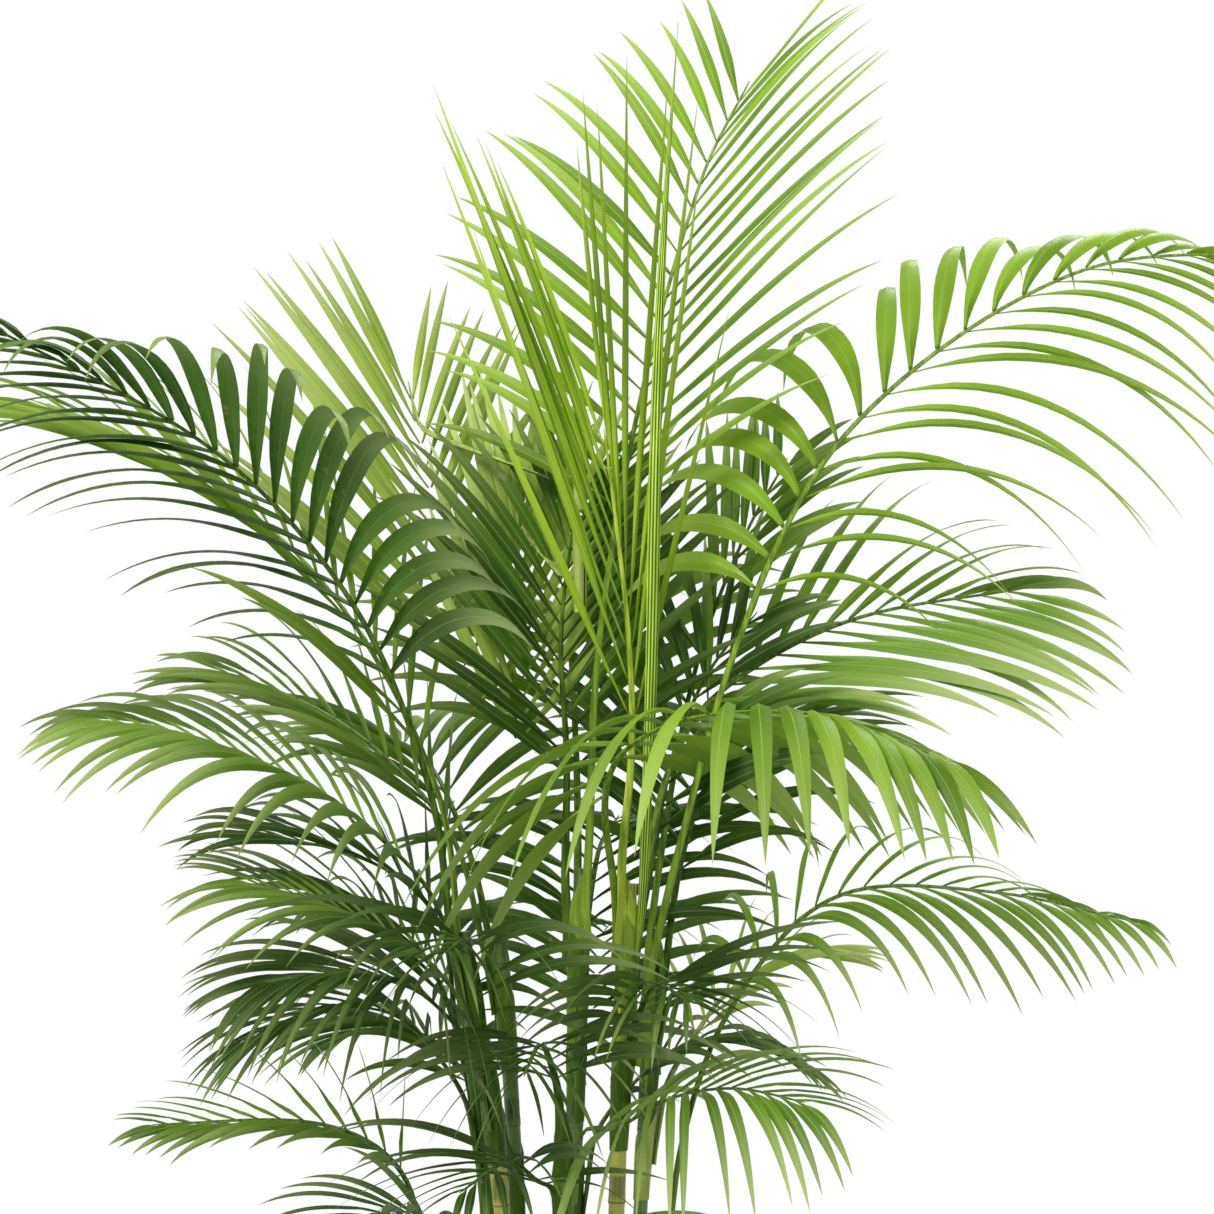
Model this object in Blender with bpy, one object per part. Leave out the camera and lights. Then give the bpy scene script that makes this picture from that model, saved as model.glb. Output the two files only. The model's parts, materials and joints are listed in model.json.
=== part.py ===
"""A potted areca palm: a clump of canes in a round tapered pot, with arching pinnate fronds.

Metres, +Z up. The origin is the centre of the underside of the pot.
"""

import math
import random

import bmesh
import bpy
import numpy as np
from mathutils.bvhtree import BVHTree

for old in list(bpy.data.objects):
    bpy.data.objects.remove(old, do_unlink=True)

# Pot and soil
POT_TOP_R = 0.150  # outside, just under the rim
POT_BASE_R = 0.112
POT_HEIGHT = 0.290
POT_WALL = 0.005
POT_FLOOR = 0.008
RIM_HEIGHT = 0.028
RIM_PROUD = 0.006
DRAIN_HOLES = 6
DRAIN_HOLE_R = 0.006
DRAIN_RING_R = 0.060
POT_SEGMENTS = 72
SOIL_DROP = 0.028  # soil surface below the top of the rim
SOIL_TOP = POT_HEIGHT - SOIL_DROP
SOIL_RELIEF = 0.004
FIT_GAP = 0.0004  # clearance between two neighbouring pieces
CANE_BURIED = 0.070

# Plant
SIZE = 1.0  # multiplies every height and reach above the soil
CANE_R = 0.0075
CANE_SIDES = 10
CANE_NODE_PITCH = 0.055  # spacing of the ring scars
PETIOLE_HALF_WIDTH = 0.0050
PETIOLE_DEPTH = 0.0065
RACHIS_TIP_SHARE = 0.28  # rachis size at its tip over its size at the petiole's foot
LEAFLET_ROOT = 0.008  # length of the leaflet's root along the rachis
LEAFLET_THICK = 0.0016
LEAFLET_WIDTH = 1.0  # multiplies every leaflet width
LAST_PAIR = 0.985  # share of the rachis at which the pairs end
SPEAR_R = 0.0065
SPEAR_FLUTES = 6
SPEAR_PATH = ((0.090, -0.040, 0.700), (0.096, -0.034, 1.000), (0.104, -0.026, 1.180), (0.118, -0.015, 1.377))

# Each cane: foot x and y on the soil, top x, y and height above the soil, thickness, material.
CANES = {
    "cane_right": (0.052, -0.018, 0.071, -0.022, 0.520, 1.10, "cane_yellow"),
    "cane_back": (0.012, 0.040, 0.020, 0.050, 0.530, 1.05, "cane_green"),
    "cane_left": (-0.062, 0.008, -0.096, 0.004, 0.470, 1.15, "cane_green"),
    "cane_front_left": (-0.046, -0.045, -0.074, -0.046, 0.370, 1.00, "cane_yellow"),
    "cane_rear_left": (-0.038, 0.066, -0.064, 0.082, 0.480, 0.95, "cane_green"),
    "cane_rear_right": (0.074, 0.044, 0.098, 0.066, 0.420, 0.95, "cane_green"),
    "cane_low_right": (0.088, -0.030, 0.090, -0.034, 0.170, 0.90, "cane_green"),
    "cane_low_left": (-0.096, -0.024, -0.116, -0.030, 0.150, 0.90, "cane_brown"),
    "cane_front": (0.006, -0.070, 0.004, -0.076, 0.300, 0.95, "cane_brown"),
}

# Each frond: its cane, how far below the cane's top it leaves, and points that its rachis passes
# through (x, y, height above the soil). Then, in degrees where they are angles:
# heading    the way the frond leans, which sets how its two rows of leaflets lie
# roll       turn of the rows about the rachis
# bare       share of the length that has no leaflets
# pairs      pairs of leaflets
# leaf       length of the longest leaflet in each of the two rows, width its width
# taper      length of the last pair over that of the longest
# spread     angle between leaflet and rachis at the first pair and at the last
# skew       added to that angle in one row, taken from it in the other
# vee        how far the rows rise above the flat
# droop      how strongly the leaflets of each row bend down towards their tips
# pitch      tilt of each row's blades about their own length
FRONDS = {
    "frond_top": dict(
        cane="cane_back", drop=0.02, skin="leaf_bright", heading=62, roll=0,
        path=((0.038, 0.030, 0.752), (0.080, 0.048, 1.002), (0.144, 0.072, 1.234), (0.193, 0.090, 1.334)),
        bare=0.44, pairs=19, leaf=(0.30, 0.36), width=0.015, taper=0.45, spread=(54, 32), skew=8, vee=12,
        droop=(0.40, 0.30), pitch=(5, -25)),
    "frond_new": dict(
        cane="cane_right", drop=0.01, skin="leaf_young", heading=100, roll=0,
        path=((0.072, -0.030, 0.657), (0.068, -0.028, 0.772), (0.056, -0.024, 0.880), (0.044, -0.020, 0.972)),
        bare=0.34, pairs=9, leaf=(0.56, 0.58), width=0.011, taper=0.5, spread=(17, 14), skew=5, vee=10,
        droop=(0.0, 0.0), pitch=(50, 50)),
    "frond_right": dict(
        cane="cane_right", drop=0.13, skin="leaf_bright", heading=-3, roll=56,
        path=((0.112, -0.022, 0.530), (0.187, -0.022, 0.788), (0.293, -0.025, 0.977),
              (0.510, -0.035, 1.126), (0.720, -0.040, 1.147)),
        bare=0.38, pairs=20, leaf=(0.24, 0.38), width=0.015, taper=0.14, spread=(66, 15), skew=6, vee=12,
        droop=(1.6, 1.3), pitch=(0, 50)),
    "frond_right_low": dict(
        cane="cane_right", drop=0.05, skin="leaf_mid", heading=12, roll=42,
        path=((0.105, 0.020, 0.620), (0.150, 0.040, 0.700), (0.290, 0.070, 0.780), (0.480, 0.100, 0.815)),
        bare=0.34, pairs=14, leaf=(0.28, 0.34), width=0.018, taper=0.36, spread=(50, 20), skew=-4, vee=15,
        droop=(0.6, 0.6), pitch=(30, 10)),
    "frond_front": dict(
        cane="cane_right", drop=0.03, skin="leaf_bright", heading=-38, roll=-8,
        path=((0.044, -0.055, 0.600), (0.060, -0.095, 0.652), (0.130, -0.160, 0.690), (0.245, -0.225, 0.694),
              (0.360, -0.285, 0.655)),
        bare=0.20, pairs=17, leaf=(0.32, 0.33), width=0.022, taper=0.38, spread=(112, 22), skew=0, vee=6,
        droop=(1.2, 1.9), pitch=(15, 15)),
    "frond_left": dict(
        cane="cane_left", drop=0.04, skin="leaf_dark", heading=192, roll=40,
        path=((-0.128, -0.020, 0.612), (-0.205, -0.045, 0.800), (-0.340, -0.080, 0.950),
              (-0.575, -0.140, 1.080)),
        bare=0.34, pairs=22, leaf=(0.27, 0.34), width=0.020, taper=0.26, spread=(60, 20), skew=4, vee=15,
        droop=(1.4, 0.8), pitch=(10, -55)),
    "frond_left_behind": dict(
        cane="cane_left", drop=0.07, skin="leaf_bright", heading=172, roll=-25,
        path=((-0.124, 0.040, 0.610), (-0.235, 0.060, 0.812), (-0.390, 0.090, 0.945), (-0.530, 0.110, 1.005)),
        bare=0.30, pairs=16, leaf=(0.37, 0.33), width=0.015, taper=0.36, spread=(40, 20), skew=0, vee=12,
        droop=(0.4, 0.5), pitch=(40, 30)),
    "frond_left_low": dict(
        cane="cane_left", drop=0.02, skin="leaf_mid", heading=190, roll=-12,
        path=((-0.140, -0.030, 0.530), (-0.230, -0.060, 0.610),
              (-0.345, -0.085, 0.665), (-0.440, -0.100, 0.685)),
        bare=0.24, pairs=14, leaf=(0.30, 0.28), width=0.016, taper=0.36, spread=(62, 22), skew=0, vee=15,
        droop=(1.0, 0.9), pitch=(30, 40)),
    "frond_left_mid": dict(
        cane="cane_rear_left", drop=0.05, skin="leaf_mid", heading=168, roll=-15,
        path=((-0.110, 0.080, 0.560), (-0.190, 0.095, 0.650), (-0.270, 0.110, 0.700), (-0.350, 0.120, 0.725)),
        bare=0.32, pairs=13, leaf=(0.27, 0.27), width=0.014, taper=0.36, spread=(48, 22), skew=0, vee=18,
        droop=(0.6, 0.6), pitch=(40, 40)),
    "frond_left_fan": dict(
        cane="cane_front_left", drop=0.01, skin="leaf_mid", heading=182, roll=-10,
        path=((-0.100, -0.060, 0.415), (-0.150, -0.068, 0.467),
              (-0.230, -0.075, 0.505), (-0.300, -0.080, 0.525)),
        bare=0.22, pairs=14, leaf=(0.27, 0.25), width=0.011, taper=0.36, spread=(60, 20), skew=0, vee=15,
        droop=(0.9, 0.6), pitch=(30, 30)),
    "frond_left_under": dict(
        cane="cane_front_left", drop=0.04, skin="leaf_dark", heading=200, roll=0,
        path=((-0.105, -0.085, 0.392), (-0.140, -0.105, 0.425),
              (-0.205, -0.135, 0.442), (-0.270, -0.160, 0.438)),
        bare=0.20, pairs=15, leaf=(0.28, 0.25), width=0.011, taper=0.36, spread=(66, 20), skew=0, vee=10,
        droop=(1.5, 0.7), pitch=(30, 30)),
    "frond_left_over": dict(
        cane="cane_left", drop=0.12, skin="leaf_dark", heading=175, roll=-10,
        path=((-0.118, 0.018, 0.472), (-0.160, 0.026, 0.522), (-0.225, 0.034, 0.550), (-0.310, 0.040, 0.567)),
        bare=0.30, pairs=13, leaf=(0.25, 0.25), width=0.012, taper=0.36, spread=(55, 22), skew=0, vee=18,
        droop=(0.7, 0.7), pitch=(30, 30)),
    "frond_left_foot": dict(
        cane="cane_low_left", drop=0.01, skin="leaf_mid", heading=182, roll=-20,
        path=((-0.150, -0.034, 0.227), (-0.190, -0.038, 0.268),
              (-0.260, -0.044, 0.288), (-0.400, -0.060, 0.286)),
        bare=0.26, pairs=12, leaf=(0.16, 0.15), width=0.011, taper=0.36, spread=(55, 20), skew=0, vee=22,
        droop=(0.6, 0.4), pitch=(50, 50)),
    "frond_left_short": dict(
        cane="cane_low_left", drop=0.03, skin="leaf_dark", heading=215, roll=0,
        path=((-0.122, -0.075, 0.185), (-0.155, -0.100, 0.205),
              (-0.195, -0.128, 0.205), (-0.235, -0.156, 0.190)),
        bare=0.24, pairs=9, leaf=(0.17, 0.17), width=0.011, taper=0.36, spread=(62, 22), skew=0, vee=15,
        droop=(0.8, 0.8), pitch=(30, 30)),
    "frond_upper_left": dict(
        cane="cane_rear_left", drop=0.01, skin="leaf_light", heading=112, roll=0,
        path=((-0.080, 0.094, 0.600), (-0.105, 0.111, 0.740), (-0.128, 0.128, 0.875), (-0.160, 0.150, 1.030)),
        bare=0.36, pairs=15, leaf=(0.38, 0.28), width=0.014, taper=0.45, spread=(46, 20), skew=-2, vee=10,
        droop=(0.15, 0.25), pitch=(20, 20)),
    "frond_upright": dict(
        cane="cane_rear_left", drop=0.03, skin="leaf_light", heading=85, roll=0,
        path=((-0.045, 0.084, 0.600), (-0.042, 0.105, 0.760), (-0.040, 0.125, 0.920)),
        bare=0.42, pairs=13, leaf=(0.30, 0.30), width=0.014, taper=0.36, spread=(38, 15), skew=0, vee=10,
        droop=(0.1, 0.1), pitch=(20, 20)),
    "frond_centre": dict(
        cane="cane_back", drop=0.05, skin="leaf_dark", heading=85, roll=0,
        path=((0.006, 0.066, 0.640), (0.000, 0.078, 0.770), (0.016, 0.090, 0.905)),
        bare=0.32, pairs=15, leaf=(0.30, 0.28), width=0.015, taper=0.36, spread=(52, 25), skew=0, vee=10,
        droop=(0.35, 0.35), pitch=(20, 20)),
    "frond_inner": dict(
        cane="cane_right", drop=0.09, skin="leaf_dark", heading=55, roll=0,
        path=((0.092, 0.018, 0.540), (0.112, 0.034, 0.640), (0.150, 0.050, 0.730), (0.200, 0.062, 0.790)),
        bare=0.34, pairs=11, leaf=(0.24, 0.24), width=0.017, taper=0.36, spread=(55, 25), skew=0, vee=12,
        droop=(0.5, 0.5), pitch=(22, 22)),
    "frond_rear_rise": dict(
        cane="cane_rear_right", drop=0.02, skin="leaf_mid", heading=55, roll=0,
        path=((0.108, 0.080, 0.580), (0.140, 0.096, 0.740), (0.190, 0.125, 0.870), (0.235, 0.150, 0.950)),
        bare=0.36, pairs=14, leaf=(0.27, 0.24), width=0.018, taper=0.36, spread=(56, 25), skew=0, vee=15,
        droop=(0.5, 0.5), pitch=(15, 15)),
    "frond_right_long": dict(
        cane="cane_low_right", drop=0.02, skin="leaf_mid", heading=-3, roll=30,
        path=((0.122, -0.036, 0.272), (0.168, -0.040, 0.398), (0.270, -0.050, 0.509),
              (0.420, -0.065, 0.516), (0.575, -0.080, 0.485)),
        bare=0.38, pairs=17, leaf=(0.18, 0.23), width=0.012, taper=0.26, spread=(62, 14), skew=0, vee=22,
        droop=(1.4, 1.5), pitch=(20, 20)),
    "frond_right_foot": dict(
        cane="cane_front", drop=0.04, skin="leaf_mid", heading=-30, roll=10,
        path=((0.050, -0.092, 0.285), (0.105, -0.120, 0.320), (0.170, -0.155, 0.335), (0.235, -0.185, 0.325)),
        bare=0.16, pairs=14, leaf=(0.24, 0.27), width=0.014, taper=0.36, spread=(90, 22), skew=0, vee=12,
        droop=(0.8, 1.7), pitch=(25, 20)),
    "frond_right_rear": dict(
        cane="cane_rear_right", drop=0.14, skin="leaf_light", heading=20, roll=10,
        path=((0.132, 0.080, 0.350), (0.170, 0.095, 0.400), (0.225, 0.115, 0.430), (0.280, 0.135, 0.435)),
        bare=0.30, pairs=10, leaf=(0.17, 0.17), width=0.011, taper=0.36, spread=(55, 22), skew=0, vee=18,
        droop=(0.6, 0.6), pitch=(30, 30)),
    "frond_low_centre": dict(
        cane="cane_front", drop=0.01, skin="leaf_dark", heading=-95, roll=0,
        path=((-0.006, -0.120, 0.350), (-0.016, -0.170, 0.380), (-0.030, -0.260, 0.360)),
        bare=0.20, pairs=11, leaf=(0.23, 0.23), width=0.012, taper=0.36, spread=(66, 22), skew=0, vee=10,
        droop=(1.1, 1.1), pitch=(25, 25)),
    "frond_low_right": dict(
        cane="cane_right", drop=0.18, skin="leaf_dark", heading=-62, roll=0,
        path=((0.080, -0.070, 0.400), (0.094, -0.110, 0.430), (0.125, -0.190, 0.420)),
        bare=0.22, pairs=11, leaf=(0.21, 0.21), width=0.012, taper=0.36, spread=(66, 22), skew=0, vee=10,
        droop=(0.9, 1.2), pitch=(25, 25)),
    "frond_low_left": dict(
        cane="cane_front_left", drop=0.03, skin="leaf_dark", heading=-108, roll=0,
        path=((-0.078, -0.090, 0.425), (-0.088, -0.140, 0.475), (-0.105, -0.220, 0.470)),
        bare=0.22, pairs=11, leaf=(0.24, 0.24), width=0.012, taper=0.36, spread=(66, 22), skew=0, vee=10,
        droop=(1.1, 1.1), pitch=(25, 25)),
    "frond_low_front": dict(
        cane="cane_front", drop=0.10, skin="leaf_dark", heading=-125, roll=0,
        path=((-0.020, -0.125, 0.240), (-0.045, -0.170, 0.268), (-0.090, -0.250, 0.250)),
        bare=0.22, pairs=10, leaf=(0.21, 0.21), width=0.011, taper=0.36, spread=(66, 22), skew=0, vee=14,
        droop=(0.8, 0.8), pitch=(25, 25)),
    "frond_rear": dict(
        cane="cane_back", drop=0.09, skin="leaf_mid", heading=92, roll=0,
        path=((0.016, 0.120, 0.620), (0.006, 0.220, 0.770), (-0.010, 0.420, 0.800)),
        bare=0.32, pairs=14, leaf=(0.28, 0.28), width=0.018, taper=0.36, spread=(60, 25), skew=0, vee=18,
        droop=(0.8, 0.8), pitch=(30, 30)),
    "frond_rear_right": dict(
        cane="cane_rear_right", drop=0.05, skin="leaf_dark", heading=58, roll=0,
        path=((0.125, 0.120, 0.540), (0.170, 0.200, 0.640), (0.250, 0.350, 0.670)),
        bare=0.30, pairs=12, leaf=(0.26, 0.26), width=0.016, taper=0.36, spread=(60, 25), skew=0, vee=18,
        droop=(0.8, 0.8), pitch=(30, 30)),
    "frond_rear_left": dict(
        cane="cane_rear_left", drop=0.07, skin="leaf_mid", heading=128, roll=0,
        path=((-0.095, 0.130, 0.540), (-0.150, 0.210, 0.640), (-0.240, 0.330, 0.660)),
        bare=0.30, pairs=12, leaf=(0.26, 0.26), width=0.016, taper=0.36, spread=(60, 25), skew=0, vee=18,
        droop=(0.8, 0.8), pitch=(30, 30)),
    "frond_rear_low": dict(
        cane="cane_back", drop=0.24, skin="leaf_dark", heading=80, roll=0,
        path=((0.030, 0.110, 0.380), (0.045, 0.190, 0.450), (0.065, 0.320, 0.450)),
        bare=0.28, pairs=11, leaf=(0.22, 0.22), width=0.014, taper=0.36, spread=(60, 25), skew=0, vee=18,
        droop=(0.8, 0.8), pitch=(30, 30)),
    "frond_dense_left": dict(
        cane="cane_left", drop=0.16, skin="leaf_dark", heading=150, roll=0,
        path=((-0.125, 0.050, 0.420), (-0.160, 0.075, 0.465), (-0.205, 0.105, 0.490), (-0.250, 0.135, 0.485)),
        bare=0.28, pairs=11, leaf=(0.24, 0.24), width=0.012, taper=0.36, spread=(62, 22), skew=0, vee=15,
        droop=(0.8, 0.8), pitch=(30, 30)),
    "frond_fill_left": dict(
        cane="cane_left", drop=0.20, skin="leaf_dark", heading=200, roll=0,
        path=((-0.122, -0.045, 0.355), (-0.165, -0.068, 0.398), (-0.235, -0.095, 0.402),
              (-0.305, -0.115, 0.375)),
        bare=0.22, pairs=13, leaf=(0.23, 0.23), width=0.011, taper=0.36, spread=(64, 22), skew=0, vee=12,
        droop=(1.1, 0.9), pitch=(30, 30)),
    "frond_fill_right": dict(
        cane="cane_back", drop=0.30, skin="leaf_dark", heading=10, roll=0,
        path=((0.060, 0.034, 0.300), (0.110, 0.040, 0.345), (0.170, 0.050, 0.355), (0.235, 0.060, 0.335)),
        bare=0.24, pairs=11, leaf=(0.19, 0.19), width=0.011, taper=0.36, spread=(64, 22), skew=0, vee=12,
        droop=(0.9, 0.9), pitch=(30, 30)),
    "frond_fill_rear": dict(
        cane="cane_rear_left", drop=0.22, skin="leaf_dark", heading=145, roll=0,
        path=((-0.090, 0.115, 0.300), (-0.130, 0.140, 0.345), (-0.190, 0.175, 0.355), (-0.250, 0.205, 0.335)),
        bare=0.24, pairs=11, leaf=(0.21, 0.21), width=0.012, taper=0.36, spread=(62, 22), skew=0, vee=15,
        droop=(0.9, 0.9), pitch=(30, 30)),
    "frond_fill_back": dict(
        cane="cane_back", drop=0.17, skin="leaf_dark", heading=84, roll=0,
        path=((0.024, 0.100, 0.450), (0.038, 0.165, 0.540), (0.060, 0.290, 0.570)),
        bare=0.26, pairs=11, leaf=(0.27, 0.27), width=0.015, taper=0.36, spread=(66, 24), skew=0, vee=15,
        droop=(1.0, 1.0), pitch=(25, 25)),
    "frond_foot_front": dict(
        cane="cane_front", drop=0.17, skin="leaf_mid", heading=-72, roll=0,
        path=((0.016, -0.115, 0.165), (0.030, -0.160, 0.192), (0.052, -0.225, 0.178)),
        bare=0.22, pairs=9, leaf=(0.17, 0.17), width=0.010, taper=0.36, spread=(66, 22), skew=0, vee=14,
        droop=(0.8, 0.8), pitch=(25, 25)),
}

SKINS = {
    "leaf_bright": ((0.22, 0.36, 0.07), 0.42),
    "leaf_light": ((0.30, 0.42, 0.13), 0.45),
    "leaf_young": ((0.42, 0.50, 0.14), 0.45),
    "leaf_mid": ((0.14, 0.27, 0.06), 0.42),
    "leaf_dark": ((0.07, 0.16, 0.045), 0.40),
    "cane_green": ((0.22, 0.30, 0.08), 0.50),
    "cane_yellow": ((0.50, 0.45, 0.14), 0.50),
    "cane_brown": ((0.24, 0.18, 0.10), 0.65),
    "soil": ((0.045, 0.030, 0.020), 0.95),
    "pot": ((0.50, 0.50, 0.48), 0.55),
}

DOWN = np.array((0.0, 0.0, -1.0))
SAMPLES = 160  # steps along a rachis


def unit(vector):
    return vector / np.linalg.norm(vector)


def spline(points, samples):
    """Points along a Catmull-Rom curve, evenly spaced by arc length, and the curve's length."""
    points = np.array(points)
    points = np.vstack((2 * points[0] - points[1], points, 2 * points[-1] - points[-2]))
    fine = []
    for a, b, c, d in zip(points, points[1:], points[2:], points[3:]):
        reach = np.linalg.norm(c - b)
        tangent_b = (c - a) / (np.linalg.norm(b - a) + reach)
        tangent_c = (d - b) / (np.linalg.norm(d - c) + reach)
        for t in np.linspace(0, 1, samples, endpoint=False):
            h = np.array((2 * t**3 - 3 * t**2 + 1, t**3 - 2 * t**2 + t, 3 * t**2 - 2 * t**3, t**3 - t**2))
            fine.append(h[0] * b + h[1] * reach * tangent_b + h[2] * c + h[3] * reach * tangent_c)
    fine.append(points[-2])
    fine = np.array(fine)
    along = np.concatenate(((0,), np.cumsum(np.linalg.norm(np.diff(fine, axis=0), axis=1))))
    even = np.linspace(0, along[-1], samples + 1)
    return np.stack([np.interp(even, along, fine[:, k]) for k in range(3)], axis=1), along[-1]


def at_share(line, share):
    """The point and the direction at this share of an evenly spaced line."""
    place = share * (len(line) - 1)
    low = min(int(place), len(line) - 2)
    point = line[low] + (line[low + 1] - line[low]) * (place - low)
    before = line[max(low - 1, 0)]
    after = line[min(low + 2, len(line) - 1)]
    return point, unit(after - before)


def cane_line(name):
    foot_x, foot_y, top_x, top_y, top_z = CANES[name][:5]
    foot = np.array((foot_x, foot_y, SOIL_TOP - CANE_BURIED))
    collar = np.array((foot_x, foot_y, SOIL_TOP))
    lean = np.array((top_x - foot_x, top_y - foot_y, 0)) * SIZE
    top = collar + lean + np.array((0, 0, top_z * SIZE))
    middle = (collar + top) / 2 - lean * 0.15
    return spline((foot, collar, middle, top), SAMPLES)


def cane_radius(name, share):
    """Thick at the foot, thin in the middle, wide again in the sheaths under the crown."""
    girth = CANES[name][5] * CANE_R
    foot = 0.12 * math.exp(-((share / 0.22) ** 2))
    sheath = 0.22 * math.exp(-(((share - 0.80) / 0.16) ** 2))
    close = 0.45 * max(0.0, (share - 0.90) / 0.10) ** 1.5
    return girth * (0.95 + foot + sheath - close)


def frond_line(name, yaw):
    """The rachis from beside its cane to its tip, and its length. The foot turns by yaw round the cane."""
    frond = FRONDS[name]
    line, length = cane_line(frond["cane"])
    share = 1 - frond["drop"] * SIZE / length
    axis, up = at_share(line, share)
    path = [np.array((x * SIZE, y * SIZE, SOIL_TOP + z * SIZE)) for x, y, z in frond["path"]]
    outward = path[0] - axis
    outward = unit(outward - up * outward.dot(up))
    side = np.cross(up, outward)
    outward = outward * math.cos(yaw) + side * math.sin(yaw)
    away = cane_radius(frond["cane"], share) + PETIOLE_DEPTH + FIT_GAP * 2
    foot = axis + outward * away
    hug = foot + up * 0.030 + outward * 0.004
    return spline((foot, hug, *path), SAMPLES)


def frond_axes(name, direction):
    """The sideways and upward directions of the frond's blade where the rachis has this direction."""
    frond = FRONDS[name]
    heading = math.radians(frond["heading"])
    side = np.array((-math.sin(heading), math.cos(heading), 0.0))
    side = unit(side - direction * side.dot(direction))
    above = np.cross(direction, side)
    roll = math.radians(frond["roll"])
    return side * math.cos(roll) + above * math.sin(roll), above * math.cos(roll) - side * math.sin(roll)


def rachis_ring(name, line, share):
    """Two top corners and the keel of the rachis at this share of its length."""
    point, direction = at_share(line, share)
    side, above = frond_axes(name, direction)
    size = 1 - (1 - RACHIS_TIP_SHARE) * share**0.8
    half = PETIOLE_HALF_WIDTH * size
    deep = PETIOLE_DEPTH * size
    return [point + side * half + above * deep * 0.35, point - side * half + above * deep * 0.35,
            point - above * deep * 0.65]


def leaf_length(u, taper):
    """Leaflet length over the longest one's, from the first pair (0) to the last (1)."""
    rise = 0.72 + 0.28 * math.sin(min(u / 0.35, 1.0) * math.pi / 2)
    return rise * (1 - (1 - taper) * max(0.0, (u - 0.32) / 0.68) ** 1.3)


def leaflet_rings(name, line, share, u, side_sign, root, change, spare):
    """Rings of three corners along a leaflet, then its tip. spare thickens it all round."""
    frond = FRONDS[name]
    row = 0 if side_sign > 0 else 1
    droop = frond["droop"][row]
    full = frond["leaf"][row]
    point, direction = at_share(line, share)
    side, above = frond_axes(name, direction)
    swing, sag, shorten = change
    spread = math.radians(frond["spread"][0] + (frond["spread"][1] - frond["spread"][0]) * u
                          + frond["skew"] * side_sign + swing)
    vee = math.radians(frond["vee"])
    sideways = side_sign * math.cos(vee) * side + math.sin(vee) * above
    start = unit(math.cos(spread) * direction + math.sin(spread) * sideways)
    length = full * leaf_length(u, frond["taper"]) * shorten * SIZE
    shares = (0.30, 0.64) if droop > 0.75 else (0.42,)
    steps = 12
    place = np.mean(root, axis=0)
    pitch = math.radians(frond["pitch"][row])
    rings = []
    way = start
    for step in range(steps):
        part = (step + 1) / steps
        way = unit(start + DOWN * (droop + sag) * part**1.4)
        place = place + way * length / steps
        for ring_share in shares:
            if not part - 1 / steps < ring_share <= part:
                continue
            across = unit(direction - way * direction.dot(way))
            normal = np.cross(across, way) * side_sign
            blade = across * math.cos(pitch) + normal * math.sin(pitch)
            face = normal * math.cos(pitch) - across * math.sin(pitch)
            fullness = 1.0 if ring_share < 0.5 else 0.78
            wide = min(1.0, 0.55 + 0.45 * length / full)
            half = frond["width"] * LEAFLET_WIDTH * fullness * wide / 2 + spare
            thick = LEAFLET_THICK + spare
            rings.append([place - blade * half + face * spare, place + blade * half + face * spare,
                          place - face * thick])
    return rings, place + way * spare


def jitter(name):
    return random.Random(sum(ord(letter) * (k + 3) for k, letter in enumerate(name)))


class Shell:
    """Corners and triangles of one closed body."""

    def __init__(self):
        self.corners = []
        self.faces = []

    def add(self, points):
        first = len(self.corners)
        self.corners.extend(np.asarray(p, float) for p in points)
        return list(range(first, len(self.corners)))

    def band(self, ring_a, ring_b, falling=False):
        """Two triangles per side. falling swaps the diagonal, for a band that twists the other way."""
        for k in range(len(ring_a)):
            n = (k + 1) % len(ring_a)
            a, b, c, d = ring_a[k], ring_a[n], ring_b[n], ring_b[k]
            self.faces += [(a, d, b), (b, d, c)] if falling else [(a, d, c), (a, c, b)]

    def cone(self, ring, tip):
        for k in range(len(ring)):
            self.faces.append((ring[k], tip, ring[(k + 1) % len(ring)]))

    def tree(self):
        return BVHTree.FromPolygons([tuple(c) for c in self.corners], self.faces)

    def box(self, spare=0.001):
        corners = np.array(self.corners)
        return corners.min(axis=0) - spare, corners.max(axis=0) + spare


def boxes_meet(a, b):
    return bool((a[0] <= b[1]).all() and (b[0] <= a[1]).all())


def meets(shell, obstacles):
    """Whether this shell crosses any obstacle, each a box and a tree."""
    box = shell.box()
    near = [tree for other, tree in obstacles if boxes_meet(box, other)]
    if not near:
        return False
    own = shell.tree()
    return any(own.overlap(tree) for tree in near)


def grown(shell, spare):
    """A copy of a convex-sectioned tube or leaflet, pushed out from the middle of each ring of three."""
    copy = Shell()
    copy.faces = shell.faces
    for first in range(0, len(shell.corners) - len(shell.corners) % 3, 3):
        ring = np.array(shell.corners[first:first + 3])
        middle = ring.mean(axis=0)
        copy.add(p + unit(p - middle) * spare * 2 for p in ring)
    copy.add(shell.corners[len(copy.corners):])
    return copy


def station_shares(name):
    """Share of the rachis at which each leaflet pair stands."""
    frond = FRONDS[name]
    bare = frond["bare"]
    return [bare + (LAST_PAIR - bare) * (k + 0.5) / frond["pairs"] for k in range(frond["pairs"])]


def stem_rings(name, line, length):
    """Rings of the bare stalk and of the rachis. Each leaflet pair has a ring before and after it."""
    frond = FRONDS[name]
    bare_rings = 6
    rings = [rachis_ring(name, line, frond["bare"] * k / bare_rings) for k in range(bare_rings)]
    half_root = LEAFLET_ROOT / length / 2
    for share in station_shares(name):
        rings.append(rachis_ring(name, line, share - half_root))
        rings.append(rachis_ring(name, line, share + half_root))
    return rings, bare_rings


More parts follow.
